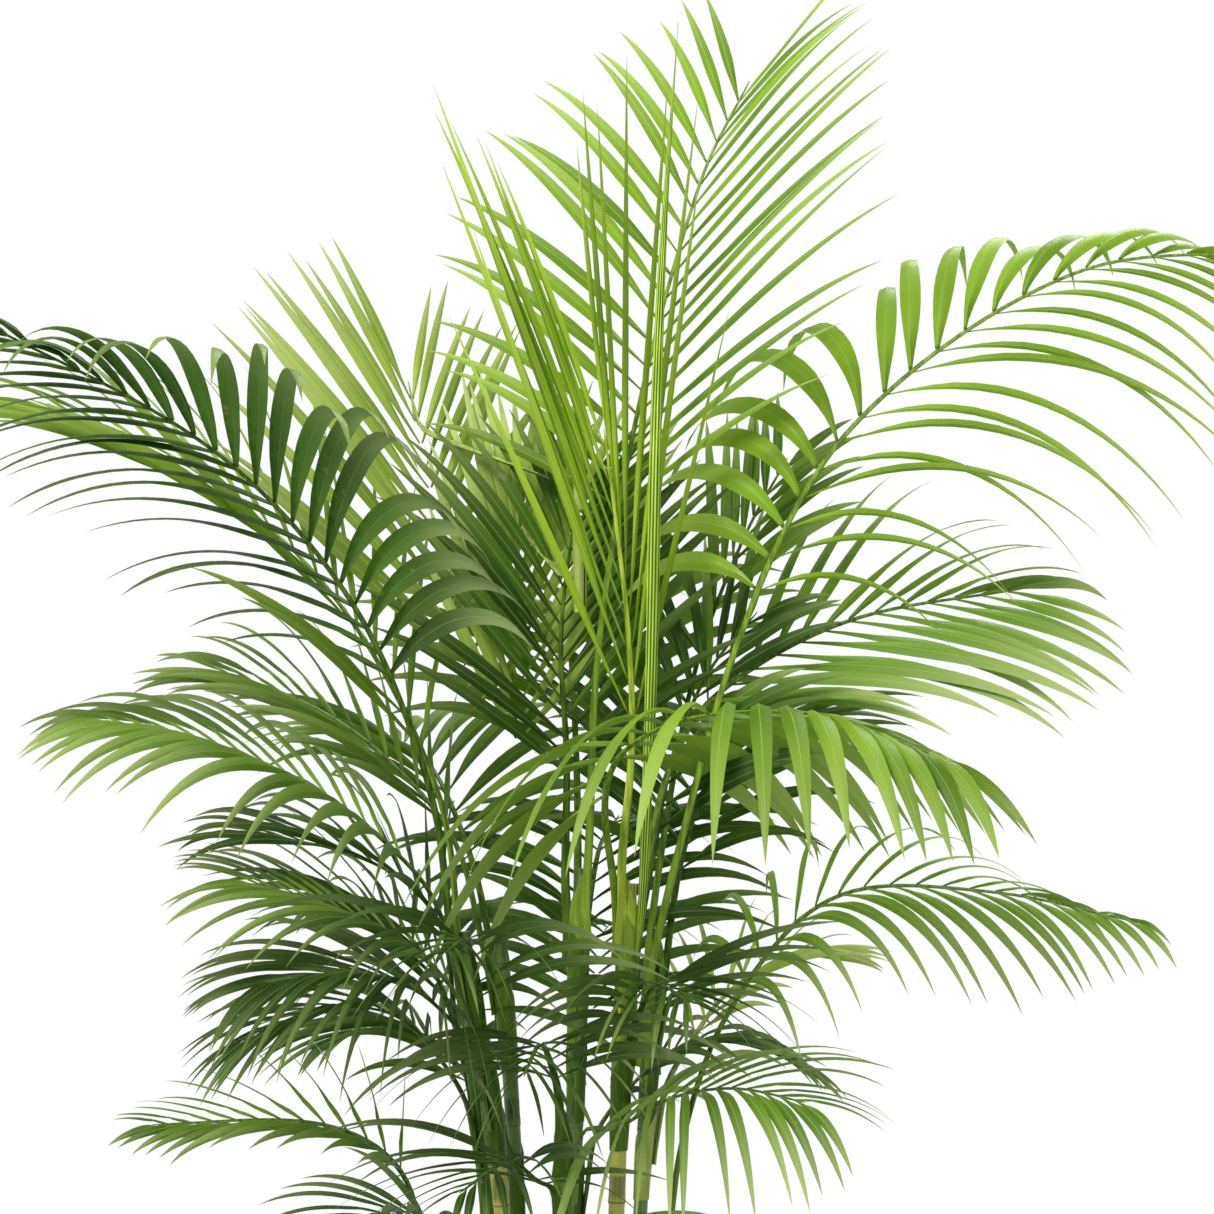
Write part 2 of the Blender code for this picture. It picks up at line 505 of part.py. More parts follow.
def stem_shell(name, line, length):
    rings = stem_rings(name, line, length)[0]
    shell = Shell()
    rows = [shell.add(ring) for ring in rings]
    for a, b in zip(rows, rows[1:]):
        shell.band(a, b)
    shell.faces.append((rows[0][0], rows[0][1], rows[0][2]))
    tip = shell.add([at_share(line, 1.0)[0]])[0]
    shell.cone(rows[-1], tip)
    return shell


def leaflet_probe(rings, tip, root):
    """The leaflet alone, closed, with its root pulled a little clear of the rachis."""
    shell = Shell()
    inner = np.array(root) + (np.mean(rings[0], axis=0) - np.mean(root, axis=0)) * 0.06
    rows = [shell.add(inner)] + [shell.add(ring) for ring in rings]
    for a, b in zip(rows, rows[1:]):
        shell.band(a, b)
    shell.faces.append((rows[0][0], rows[0][1], rows[0][2]))
    shell.cone(rows[-1], shell.add([tip])[0])
    return shell


# Changes tried on a leaflet that would cross something: swing, extra droop, share of its length
CHANGES = [(swing, sag, shorten) for shorten in (1.0, 0.88, 0.74, 0.58)
           for swing, sag in ((0, 0), (5, 0), (-5, 0), (0, 0.25), (0, -0.2), (9, 0.2), (-9, 0.2), (10, -0.25),
                              (-10, -0.25), (16, 0.1), (-14, 0.1), (0, 0.6))]
PROBE_SPARE = 0.0008


def frond_shell(name, line, length, obstacles):
    """The whole frond, each leaflet set so that it clears everything already placed."""
    rings, bare_rings = stem_rings(name, line, length)
    shell = Shell()
    rows = [shell.add(ring) for ring in rings]
    frond = FRONDS[name]
    dice = jitter(name)
    own = []
    stalk = stem_shell(name, line, length)
    own.append((stalk.box(), stalk.tree()))
    grown_on = {}
    for k, share in enumerate(station_shares(name)):
        before = rows[bare_rings + 2 * k]
        after = rows[bare_rings + 2 * k + 1]
        u = (k + 0.5) / frond["pairs"]
        for side_sign, top, keel in ((1, 0, 2), (-1, 1, 2)):
            root_ids = (before[top], after[top], after[keel])
            root = [shell.corners[i] for i in root_ids]
            base_swing = dice.uniform(-4, 4)
            base_sag = dice.uniform(-0.12, 0.12) * (0.3 + frond["droop"][0])
            base_size = dice.uniform(0.92, 1.04)
            for swing, sag, shorten in CHANGES:
                change = (base_swing + swing, base_sag + sag, base_size * shorten)
                thick, tip = leaflet_rings(name, line, share, u, side_sign, root, change, PROBE_SPARE)
                probe = leaflet_probe(thick, tip, root)
                if not meets(probe, obstacles) and not meets(probe, own[1:]) and not meets(probe, own[:1]):
                    own.append((probe.box(), probe.tree()))
                    grown_on[root_ids] = leaflet_rings(name, line, share, u, side_sign, root, change, 0.0)
                    break
    for place, (a, b) in enumerate(zip(rows, rows[1:])):
        carries = place >= bare_rings and (place - bare_rings) % 2 == 0
        if not carries:
            shell.band(a, b)
            continue
        shell.faces.append((a[0], a[1], b[1]))
        shell.faces.append((a[0], b[1], b[0]))
        for top in (0, 1):
            root_ids = (a[top], b[top], b[2])
            shell.faces.append((a[top], b[2], a[2]))
            if root_ids not in grown_on:
                shell.faces.append(root_ids)
                continue
            leaf_rings, tip = grown_on[root_ids]
            last = list(root_ids)
            for ring in leaf_rings:
                row = shell.add(ring)
                shell.band(last, row, falling=frond["pitch"][top] < 0)
                last = row
            shell.cone(last, shell.add([tip])[0])
    shell.faces.append((rows[0][0], rows[0][1], rows[0][2]))
    shell.cone(rows[-1], shell.add([at_share(line, 1.0)[0]])[0])
    return shell, len(grown_on)


def cane_shell(name, spare=0.0):
    line, length = cane_line(name)
    nodes = max(3, round(length / CANE_NODE_PITCH))
    shell = Shell()
    rows = []
    for k in range(2 * nodes + 1):
        share = k / (2 * nodes)
        point, direction = at_share(line, share)
        side = unit(np.cross(direction, np.array((0.0, 1.0, 0.0))))
        front = np.cross(direction, side)
        scar = 1.06 if k % 2 else 1.0
        radius = cane_radius(name, share) * scar + spare
        turns = [2 * math.pi * j / CANE_SIDES for j in range(CANE_SIDES)]
        rows.append(shell.add(point + radius * (side * math.cos(t) + front * math.sin(t)) for t in turns))
    for a, b in zip(rows, rows[1:]):
        shell.band(a, b)
    low = shell.add([np.mean([shell.corners[i] for i in rows[0]], axis=0) + DOWN * spare])[0]
    high = shell.add([np.mean([shell.corners[i] for i in rows[-1]], axis=0) - DOWN * (0.006 + spare)])[0]
    shell.cone(rows[0][::-1], low)
    shell.cone(rows[-1], high)
    return shell


def spear_shell():
    """The unopened leaf: a fluted sword that stands beside the right-hand cane."""
    line, length = cane_line("cane_right")
    axis = at_share(line, 1 - 0.035 / length)[0]
    away = cane_radius("cane_right", 0.95) + SPEAR_R + 3 * FIT_GAP
    foot = axis + unit(np.array((0.8, -0.6, 0.0))) * away
    points = [foot]
    for x, y, z in SPEAR_PATH:
        points.append(np.array((x * SIZE, y * SIZE, SOIL_TOP + z * SIZE)))
    sword, _ = spline(points, SAMPLES)
    shell = Shell()
    rows = []
    rings = 14
    for k in range(rings):
        share = k / rings
        point, direction = at_share(sword, share)
        side = unit(np.cross(direction, np.array((0.0, 1.0, 0.0))))
        front = np.cross(direction, side)
        swell = 0.62 + 0.38 * math.sin(math.pi * min(1.0, share / 0.45) / 2)
        radius = SPEAR_R * swell * (1 - max(0.0, (share - 0.45) / 0.55) ** 1.4)
        corners = []
        for j in range(2 * SPEAR_FLUTES):
            turn = math.pi * j / SPEAR_FLUTES
            reach = radius * (1.0 if j % 2 else 0.80)
            corners.append(point + reach * (side * math.cos(turn) + front * math.sin(turn)))
        rows.append(shell.add(corners))
    for a, b in zip(rows, rows[1:]):
        shell.band(a, b)
    low = shell.add([np.mean([shell.corners[i] for i in rows[0]], axis=0)])[0]
    shell.cone(rows[0][::-1], low)
    shell.cone(rows[-1], shell.add([at_share(sword, 1.0)[0]])[0])
    return shell


def material(name):
    colour, rough = SKINS[name]
    made = bpy.data.materials.new(name)
    made.use_nodes = True
    shader = made.node_tree.nodes["Principled BSDF"]
    shader.inputs["Base Color"].default_value = (*colour, 1.0)
    shader.inputs["Roughness"].default_value = rough
    made.diffuse_color = (*colour, 1.0)
    return made


def object_of(name, bm, skin, smooth_angle):
    mesh = bpy.data.meshes.new(name)
    bmesh.ops.recalc_face_normals(bm, faces=bm.faces)
    if bm.calc_volume(signed=True) < 0:
        bmesh.ops.reverse_faces(bm, faces=bm.faces)
    bm.to_mesh(mesh)
    bm.free()
    mesh.shade_smooth()
    mesh.set_sharp_from_angle(angle=math.radians(smooth_angle))
    mesh.materials.append(SKIN_OF[skin])
    made = bpy.data.objects.new(name, mesh)
    bpy.context.scene.collection.objects.link(made)
    return made


def object_of_shell(name, shell, skin, smooth_angle=50):
    bm = bmesh.new()
    corners = [bm.verts.new(tuple(c)) for c in shell.corners]
    for face in shell.faces:
        bm.faces.new([corners[i] for i in face])
    return object_of(name, bm, skin, smooth_angle)


def turned(profile, segments):
    """A closed body: the profile (radius, height) turned once round the Z axis."""
    bm = bmesh.new()
    corners = [bm.verts.new((radius, 0.0, height)) for radius, height in profile]
    edges = [bm.edges.new((a, b)) for a, b in zip(corners, corners[1:])]
    bmesh.ops.spin(bm, geom=corners + edges, cent=(0, 0, 0), axis=(0, 0, 1), angle=2 * math.pi,
                   steps=segments, use_duplicate=False)
    bmesh.ops.remove_doubles(bm, verts=bm.verts, dist=1e-6)
    bmesh.ops.dissolve_degenerate(bm, edges=bm.edges, dist=1e-6)
    return bm


def helper(made):
    made.hide_render = True
    made.display_type = "WIRE"
    return made


def cut(target, cutter):
    boolean = target.modifiers.new(cutter.name, "BOOLEAN")
    boolean.operation = "DIFFERENCE"
    boolean.solver = "EXACT"
    boolean.object = cutter


def pot_radius(height):
    """Outside radius of the pot's wall at this height."""
    return POT_BASE_R + (POT_TOP_R - POT_BASE_R) * height / POT_HEIGHT


SKIN_OF = {name: material(name) for name in SKINS}

# Pot
rim_low = POT_HEIGHT - RIM_HEIGHT
fillet = 0.003
pot_profile = (
    (0.0, 0.0),
    (POT_BASE_R - fillet, 0.0),
    (POT_BASE_R, fillet),
    (pot_radius(rim_low), rim_low),
    (pot_radius(rim_low) + RIM_PROUD - fillet / 2, rim_low + fillet / 4),
    (pot_radius(rim_low) + RIM_PROUD, rim_low + fillet),
    (pot_radius(POT_HEIGHT) + RIM_PROUD, POT_HEIGHT - fillet),
    (pot_radius(POT_HEIGHT) + RIM_PROUD - fillet, POT_HEIGHT),
    (pot_radius(POT_HEIGHT) - POT_WALL + fillet / 2, POT_HEIGHT),
    (pot_radius(POT_HEIGHT) - POT_WALL, POT_HEIGHT - fillet / 2),
    (pot_radius(POT_FLOOR) - POT_WALL, POT_FLOOR),
    (0.0, POT_FLOOR),
)
pot = object_of("pot", turned(pot_profile, POT_SEGMENTS), "pot", 35)
hole_bm = bmesh.new()
for hole in range(DRAIN_HOLES):
    turn = 2 * math.pi * (hole + 0.5) / DRAIN_HOLES
    drilled = bmesh.ops.create_cone(hole_bm, cap_ends=True, segments=16, radius1=DRAIN_HOLE_R,
                                    radius2=DRAIN_HOLE_R, depth=POT_FLOOR * 3)
    bmesh.ops.translate(hole_bm, verts=drilled["verts"],
                        vec=(DRAIN_RING_R * math.cos(turn), DRAIN_RING_R * math.sin(turn), POT_FLOOR / 2))
cut(pot, helper(object_of("drain_holes", hole_bm, "pot", 35)))

# Soil, one solid with a blind hole round each cane
soil_inset = POT_WALL + FIT_GAP
soil_low = POT_FLOOR + FIT_GAP
soil_profile = [(0.0, soil_low), (pot_radius(soil_low) - soil_inset, soil_low),
                (pot_radius(SOIL_TOP) - soil_inset, SOIL_TOP)]
soil_rings = 7
soil_edge_r = pot_radius(SOIL_TOP) - soil_inset
for ring in range(1, soil_rings):
    soil_profile.append((soil_edge_r * (1 - ring / soil_rings), SOIL_TOP))
soil_profile.append((0.0, SOIL_TOP))
soil_bm = turned(soil_profile, 48)
for corner in soil_bm.verts:
    x, y, z = corner.co
    if z > SOIL_TOP - 1e-5:
        inward = 1 - (math.hypot(x, y) / soil_edge_r) ** 4
        lumps = math.sin(71 * x + 1.0) * math.cos(83 * y) + 0.6 * math.sin(149 * x - 131 * y)
        corner.co.z += SOIL_RELIEF * inward * (0.55 * lumps)
soil = object_of("soil", soil_bm, "soil", 60)
for name in CANES:
    cut(soil, helper(object_of_shell(name + "_bore", cane_shell(name, FIT_GAP), "soil")))

# Canes, then the spear, then every stalk, then the leaflets
cane_shells = {name: cane_shell(name) for name in CANES}
for name, shell in cane_shells.items():
    object_of_shell(name, shell, CANES[name][6], 40)
spear = spear_shell()
object_of_shell("spear", spear, "leaf_young", 25)

fixed = [(cane_shell(name, FIT_GAP).box(), cane_shell(name, FIT_GAP).tree()) for name in CANES]
fixed.append((spear.box(), spear.tree()))
stems = {}
for name in FRONDS:
    for turn in (0, 12, -12, 24, -24, 36, -36, 50, -50, 65, -65, 80, -80, 100, -100, 130, -130):
        line, length = frond_line(name, math.radians(turn))
        bare_stem = stem_shell(name, line, length)
        wide_stem = grown(bare_stem, FIT_GAP)
        if not meets(wide_stem, fixed):
            break
    else:
        print("stalk crosses another piece:", name)
    stems[name] = (line, length)
    fixed.append((bare_stem.box(), bare_stem.tree()))

stem_obstacles = dict(zip(FRONDS, fixed[len(CANES) + 1:]))
solid_obstacles = fixed[:len(CANES) + 1]
placed = []
leaflets = 0
wanted = 0
for name in FRONDS:
    line, length = stems[name]
    others = [stem_obstacles[other] for other in FRONDS if other != name]
    shell, count = frond_shell(name, line, length, solid_obstacles + others + placed)
    placed.append((shell.box(), shell.tree()))
    leaflets += count
    wanted += 2 * FRONDS[name]["pairs"]
    object_of_shell(name, shell, FRONDS[name]["skin"], 30)
print("leaflets placed:", leaflets, "of", wanted)
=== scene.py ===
"""A potted palm: the looks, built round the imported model. Metres, +Z up."""

import json
import math
import random

import bmesh
import bpy
import numpy as np
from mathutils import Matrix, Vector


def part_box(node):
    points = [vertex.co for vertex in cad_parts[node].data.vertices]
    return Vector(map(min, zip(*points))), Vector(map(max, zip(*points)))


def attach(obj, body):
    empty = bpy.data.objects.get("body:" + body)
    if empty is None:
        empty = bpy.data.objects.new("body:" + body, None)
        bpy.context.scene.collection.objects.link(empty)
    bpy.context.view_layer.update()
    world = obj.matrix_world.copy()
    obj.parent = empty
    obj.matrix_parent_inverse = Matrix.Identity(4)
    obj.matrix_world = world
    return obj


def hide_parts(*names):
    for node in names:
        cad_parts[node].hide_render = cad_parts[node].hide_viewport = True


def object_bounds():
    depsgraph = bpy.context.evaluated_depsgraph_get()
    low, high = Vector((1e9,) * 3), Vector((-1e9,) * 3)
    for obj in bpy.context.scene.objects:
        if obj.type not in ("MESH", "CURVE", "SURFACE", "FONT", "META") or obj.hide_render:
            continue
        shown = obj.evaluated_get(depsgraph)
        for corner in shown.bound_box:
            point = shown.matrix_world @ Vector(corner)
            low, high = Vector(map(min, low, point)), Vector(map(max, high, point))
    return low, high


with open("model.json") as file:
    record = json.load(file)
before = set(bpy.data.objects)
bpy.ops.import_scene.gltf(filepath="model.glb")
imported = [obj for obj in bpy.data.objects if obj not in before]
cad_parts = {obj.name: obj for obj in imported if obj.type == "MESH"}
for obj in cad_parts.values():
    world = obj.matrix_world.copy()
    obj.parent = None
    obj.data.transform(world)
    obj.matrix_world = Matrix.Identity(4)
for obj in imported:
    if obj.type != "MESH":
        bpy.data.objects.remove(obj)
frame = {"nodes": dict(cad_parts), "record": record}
CAD_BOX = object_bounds()

# Leaflets
SECTIONS = 15  # cross-sections from the root of a leaflet to just short of its tip
SECTION_BIAS = 1.08  # the higher, the closer together they are near the root
ACROSS = (-1.0, -0.5, 0.0, 0.5, 1.0)  # points over the width of the upper face
BLADE_THICK = 0.0004
TIP_THICK = 0.45  # thickness at the tip over the full thickness
RIB_THICK = 1.5  # thickness at the midrib over the blade's
RIB_SWELL = 1.1  # how much more that is at the root
RIB_SWELL_FADES = 3.0  # the higher, the sooner it fades
BASE_WIDTH = 0.26  # width at the root over the full width
FULL_AT = 0.34  # share of the length at which a leaflet is widest
TAPER = 1.5  # the lower, the longer the leaflet's point
FOLD_BASE = math.radians(52)  # how far each half hangs from the midrib at the root
FOLD_OPEN = math.radians(13)  # and at the tip
FOLD_FADES = 0.22  # share of the length over which the fold opens
FOLD_VARIES = (0.7, 1.3)
ROOT_TURNS = 1.15  # the higher, the sooner a leaflet turns from its root's plane to its blade's
TWIST = math.radians(16)  # most that a leaflet turns on its way to its tip
TWIST_FROM = 0.3  # share of the length at which the twist starts
ONE_RING = (0.42,)  # shares of the length at which the frame's leaflets have their rings
TWO_RINGS = (0.30, 0.64)

# Leaf surface
WORN_TIP = 0.05  # share of the length that can be dry at the tip
VEIN_PITCH = 0.0026
FINE_VEIN_PITCH = 0.0011
RIB_HALF = 0.0007  # half the width of the pale midrib
LEAF_SPECULAR = 0.09
LEAF_GLOW = 0.36  # share of the light that shines through
LEAF_BUMP = 0.00012

# Stalks
STALK_SIDES = 12
STALK_STEP = 0.012
STALK_GROOVE = 0.55  # depth of the groove over half the stalk's depth
STALK_MIDDLE = 0.6  # share of the way up from the keel at which the middle line runs
STALK_FULL = 1.05  # depth over the frame's
STALK_END = 0.35  # width and depth at the tip, over those at the last ring
STALK_BUMP = 0.0004
FOOT_FLARE = 0.45
FOOT_LENGTH = 0.05
# Steps of a stalk's hidden foot: how far down it, how far out of the cane, depth and width, as shares
FOOT_STEPS = ((0.5, 0.62, 0.72, 1.15), (1.0, 0.20, 0.30, 1.35))

# Leaf sheaths, each round the cane at a stalk's foot
SHEATH_LENGTH = 0.085
SHEATH_RISE = 0.014  # how far the upper edge stands above the stalk's foot
SHEATH_RINGS = 12
SHEATH_COLUMNS = 26
SHEATH_WRAP = (math.radians(168), math.radians(28))  # half the angle covered: low down, upper edge
SHEATH_OPENS = 0.45  # share of the height from which it narrows
SHEATH_OUT = (0.0011, 0.0026)  # how far it stands out from the cane: lower end, upper edge
SHEATH_IN = 0.0002  # how far its inner face stands out

# Canes
CANE_SIDES = 28
CANE_STEP = 0.004
CANE_END_RINGS = 2  # cuts at each end whose radius isn't trusted
SLICE_STEP = 0.006  # height between the level cuts that find a cane's middle and radius
SCAR_PITCH = 0.055
SCAR_SHIFT = 0.15  # most that a cane's scars are moved, over the pitch
# What each scar adds to the radius: height, distance above the scar, and width
SCAR_RIDGE = (0.0007, 0.0, 0.0016)
SCAR_SWELL = (0.0005, 0.004, 0.006)
SCAR_GROOVE = (-0.0004, -0.002, 0.001)
CANE_OVAL = 0.02  # how far from round, as a share of the radius
CANE_WAVER = (0.01, 60)  # share of the radius, and radians per metre
WEATHER = (0.07, 0.35, 0.1)  # full up to this height, the height over which it fades, and the least
CANE_BUMP = 0.0005

# Cuffs: what is left of old sheaths, low on the canes
CUFFS = {"cane_green": 1, "cane_yellow": 1, "cane_brown": 3}
CUFFS_BETWEEN = (0.09, 0.22)  # along the cane, from its buried foot
CUFF_TALL = (0.018, 0.040)
CUFF_STEPS = 7
CUFF_SIDES = 36
CUFF_THICK = 0.0005
CUFF_OUT = 0.0010  # how far its lower edge stands out from the cane
CUFF_FLARE = 0.0016  # how much further its upper edge does

# The spear, the leaf that isn't open yet
SPEAR_STEP = 0.010
SPEAR_TIP_R = 0.0004
SPEAR_FOOT_SHARE = 0.25  # radius of the hidden foot over the spear's
SPEAR_FOLDS = 9
SPEAR_FOLD_SIDES = 4
SPEAR_FOLD_DEPTH = 0.20  # as a share of the radius
SPEAR_FLAT = 0.28  # how much narrower it is one way than the other
SPEAR_TURN = 0.8  # radians that it twists over its length

# Pot and soil
POT_SEGMENTS = 192
POT_FLOOR = 0.008
POT_FOOT = 0.0025  # how far the underside stands off the ground inside the foot ring
RIM_TALL = 0.028
RIM_OUT = 0.006  # how far the rim stands out from the wall
DRAIN_HOLES = 6
DRAIN_HOLE_R = 0.006
DRAIN_RING_R = 0.060
DRAIN_SIDES = 40
SOIL_RINGS = 46
SOIL_SPOKES = 150
SOIL_WAVES = 26
SOIL_WAVE_TURNS = (20, 170)  # radians per metre
SOIL_LUMP = 0.0042
SOIL_CROWN = 0.0015
SOIL_SINK = 0.0005
CRUMBS = 620
CRUMB_SIZE = (0.0012, 0.0042)
CRUMB_REACH = 0.965  # share of the soil's radius that has crumbs
CRUMB_SMALLER = (0.6, 1.0)
CRUMB_SQUASH = (0.5, 0.9)
CRUMB_UNEVEN = (0.75, 1.2)
CRUMB_RISE = 0.25  # how far a crumb's middle stands above the soil, over its height

# Camera and light
CAMERA_FROM = (0.047, -3.6, 1.057)
VIEW_WIDTH = 1.214  # width of the view at the plant
SENSOR = 36.0
FAR_CLIP = 60
FLOOR_R = 2.5
FLOOR_SEGMENTS = 160
FLOOR_COLOUR = (0.52, 0.52, 0.51)
# Each light's place, diameter, watts and colour
LIGHTS = {
    "key": ((-1.8, -2.0, 3.6), 1.6, 190, (1.0, 0.985, 0.95)),
    "top_back": ((0.9, 1.8, 3.8), 2.0, 130, (1.0, 1.0, 0.98)),
}
SKY_COLOUR = (1.0, 1.0, 1.0, 1.0)
# The sky's strength, from the height of the direction: dimmer overhead than at the sides
SKY_FADE = {"From Min": 0.25, "From Max": 0.85, "To Min": 1.0, "To Max": 0.35}

# Colours, linear. Each leaf's: shaded, middle, sunlit, and light shining through
GREENS = {
    "leaf_bright": (
        (0.055, 0.125, 0.005), (0.195, 0.325, 0.022), (0.42, 0.54, 0.15), (0.54, 0.74, 0.08),
    ),
    "leaf_light": (
        (0.110, 0.200, 0.016), (0.320, 0.440, 0.070), (0.62, 0.68, 0.34), (0.70, 0.82, 0.20),
    ),
    "leaf_young": (
        (0.085, 0.190, 0.003), (0.290, 0.430, 0.022), (0.54, 0.65, 0.14), (0.68, 0.86, 0.07),
    ),
    "leaf_mid": (
        (0.020, 0.062, 0.002), (0.125, 0.240, 0.014), (0.46, 0.53, 0.21), (0.42, 0.66, 0.06),
    ),
    "leaf_dark": (
        (0.007, 0.032, 0.001), (0.048, 0.130, 0.005), (0.29, 0.38, 0.12), (0.20, 0.42, 0.02),
    ),
}
UNDERSIDE = (0.36, 0.43, 0.20)
LEAF_JOINT = (0.060, 0.055, 0.014)
DRY = (0.42, 0.33, 0.16)
# Spear: painted shade for the grooves, the folds' own green, and a painted highlight for the edges
SPEAR_TONES_WITH_PAINTED_LIGHT = ((0.045, 0.110, 0.006), (0.28, 0.42, 0.045), (0.55, 0.64, 0.13))  # groove, fold, edge
# Each stalk's: shaded and sunlit
STALK_GREENS = {
    "leaf_bright": ((0.048, 0.110, 0.006), (0.18, 0.27, 0.030)),
    "leaf_light": ((0.110, 0.175, 0.025), (0.32, 0.39, 0.100)),
    "leaf_young": ((0.120, 0.200, 0.008), (0.36, 0.45, 0.050)),
    "leaf_mid": ((0.024, 0.070, 0.003), (0.12, 0.20, 0.022)),
    "leaf_dark": ((0.012, 0.042, 0.001), (0.070, 0.135, 0.012)),
}
STALK_FLECK = (0.09, 0.06, 0.02)
# Each cane's: shaded, sunlit and scar
CANE_TONES = {
    "cane_green": ((0.014, 0.042, 0.002), (0.070, 0.140, 0.012), (0.11, 0.105, 0.032)),
    "cane_yellow": ((0.110, 0.135, 0.008), (0.36, 0.36, 0.045), (0.16, 0.130, 0.045)),
    "cane_brown": ((0.030, 0.028, 0.008), (0.100, 0.085, 0.030), (0.17, 0.135, 0.068)),
}
CUFF_TONES = ((0.085, 0.055, 0.022), (0.36, 0.27, 0.13))
SOIL_TONES = ((0.010, 0.006, 0.004), (0.055, 0.034, 0.020))
SOIL_FIBRE = (0.13, 0.085, 0.05)
POT_TONES = ((0.215, 0.210, 0.198), (0.270, 0.265, 0.250))
POT_SCUFF = (0.36, 0.355, 0.34)

# Leaflet width over the frame's, where a frond's are fuller or finer: far row, then near row
GIRTH = {
    "frond_left": (1.28, 1.28),
    "frond_right": (1.60, 0.64),
    "frond_front": (1.08, 1.08),
    "frond_upright": (1.15, 1.15),
}

# How much paler with painted sunlight, or darker with painted shade if negative, a frond's leaflets are
# than others of its finish
PAINTED_LIGHT_LIFT = {
    "frond_front": -0.25,
    "frond_right": 0.55,
    "frond_right_low": 0.75,
    "frond_right_long": 0.85,
    "frond_right_foot": 0.55,
    "frond_right_rear": 0.5,
    "frond_upright": 0.5,
    "frond_left_low": 0.35,
    "frond_left_foot": 0.2,
    "frond_low_centre": -0.4,
    "frond_low_front": -0.3,
    "frond_inner": -0.3,
    "frond_fill_left": -0.2,
    "frond_fill_back": -0.3,
    "frond_fill_rear": -0.3,
}

UP = np.array((0.0, 0.0, 1.0))
BACK = np.array((0.0, 1.0, 0.0))
SAME_CORNER = 1e5  # corners whose coordinates round to the same hundredth of a millimetre are one
SHARP = math.radians(75)


def unit(vectors):
    return vectors / np.linalg.norm(vectors, axis=-1, keepdims=True)


def smooth(value):
    """0 to 1 with an easy start and end."""
    value = np.clip(value, 0, 1)
    return value * value * (3 - 2 * value)


def turns(count):
    """Angles of this many even steps round a circle."""
    return [2 * math.pi * k / count for k in range(count)]


# ---------------------------------------------------------------- materials


class Graph:
    """A material's node tree, with a short call for each kind of node it needs."""

    def __init__(self, name):
        self.material = bpy.data.materials.new(name)
        self.material.use_nodes = True
        self.tree = self.material.node_tree
        self.shader = self.tree.nodes["Principled BSDF"]

    def node(self, kind, inputs=(), **settings):
        made = self.tree.nodes.new(kind)
        for key, value in settings.items():
            setattr(made, key, value)
        for key, value in dict(inputs).items():
            if isinstance(value, bpy.types.NodeSocket):
                self.tree.links.new(value, made.inputs[key])
            elif isinstance(value, tuple) and len(value) == 3 and made.inputs[key].type == "RGBA":
                made.inputs[key].default_value = (*value, 1.0)
            else:
                made.inputs[key].default_value = value
        return made

    def math(self, operation, a, b=0.0, c=0.0):
        return self.node("ShaderNodeMath", {0: a, 1: b, 2: c}, operation=operation).outputs[0]

    def between(self, value, low, high, to_low=0.0, to_high=1.0):
        """value carried from low..high to to_low..to_high, smoothly."""
        inputs = {"Value": value, "From Min": low, "From Max": high, "To Min": to_low, "To Max": to_high}
        made = self.node("ShaderNodeMapRange", inputs, interpolation_type="SMOOTHSTEP")
        return made.outputs["Result"]

    def mix(self, share, a, b):
        made = self.node("ShaderNodeMix", data_type="RGBA")
        for socket, value in zip((made.inputs[0], made.inputs[6], made.inputs[7]), (share, a, b)):
            if isinstance(value, bpy.types.NodeSocket):
                self.tree.links.new(value, socket)
            else:
                socket.default_value = (*value, 1.0) if isinstance(value, tuple) else value
        return made.outputs[2]

    def marks(self, name):
        """The three numbers that a piece's corners or faces carry under this name."""
        made = self.node("ShaderNodeAttribute", attribute_name=name)
        return self.node("ShaderNodeSeparateXYZ", {0: made.outputs["Vector"]}).outputs

    def noise(self, scale, detail=3.0, vector=None, rough=0.5):
        where = vector or self.node("ShaderNodeTexCoord").outputs["Object"]
        inputs = {"Vector": where, "Scale": scale, "Detail": detail, "Roughness": rough}
        return self.node("ShaderNodeTexNoise", inputs).outputs["Fac"]

    def wave(self, along, pitch):
        """A ripple from 0 to 1 with this pitch."""
        ripple = self.math("SINE", self.math("MULTIPLY", along, 2 * math.pi / pitch))
        return self.math("MULTIPLY_ADD", ripple, 0.5, 0.5)

    def stretched(self, scale_xyz):
        """Object coordinates scaled unevenly, which turns a noise into streaks."""
        where = self.node("ShaderNodeTexCoord").outputs["Object"]
        return self.node("ShaderNodeMapping", {"Vector": where, "Scale": scale_xyz}).outputs[0]

    def bump(self, height, distance):
        inputs = {"Height": height, "Distance": distance, "Strength": 1.0}
        return self.node("ShaderNodeBump", inputs).outputs["Normal"]

    def set(self, **values):
        """Sets inputs of the surface shader: a socket is linked, anything else is a constant."""
        for key, value in values.items():
            socket = self.shader.inputs[key.replace("_", " ")]
            if isinstance(value, bpy.types.NodeSocket):
                self.tree.links.new(value, socket)
            else:
                socket.default_value = (*value, 1.0) if isinstance(value, tuple) else value


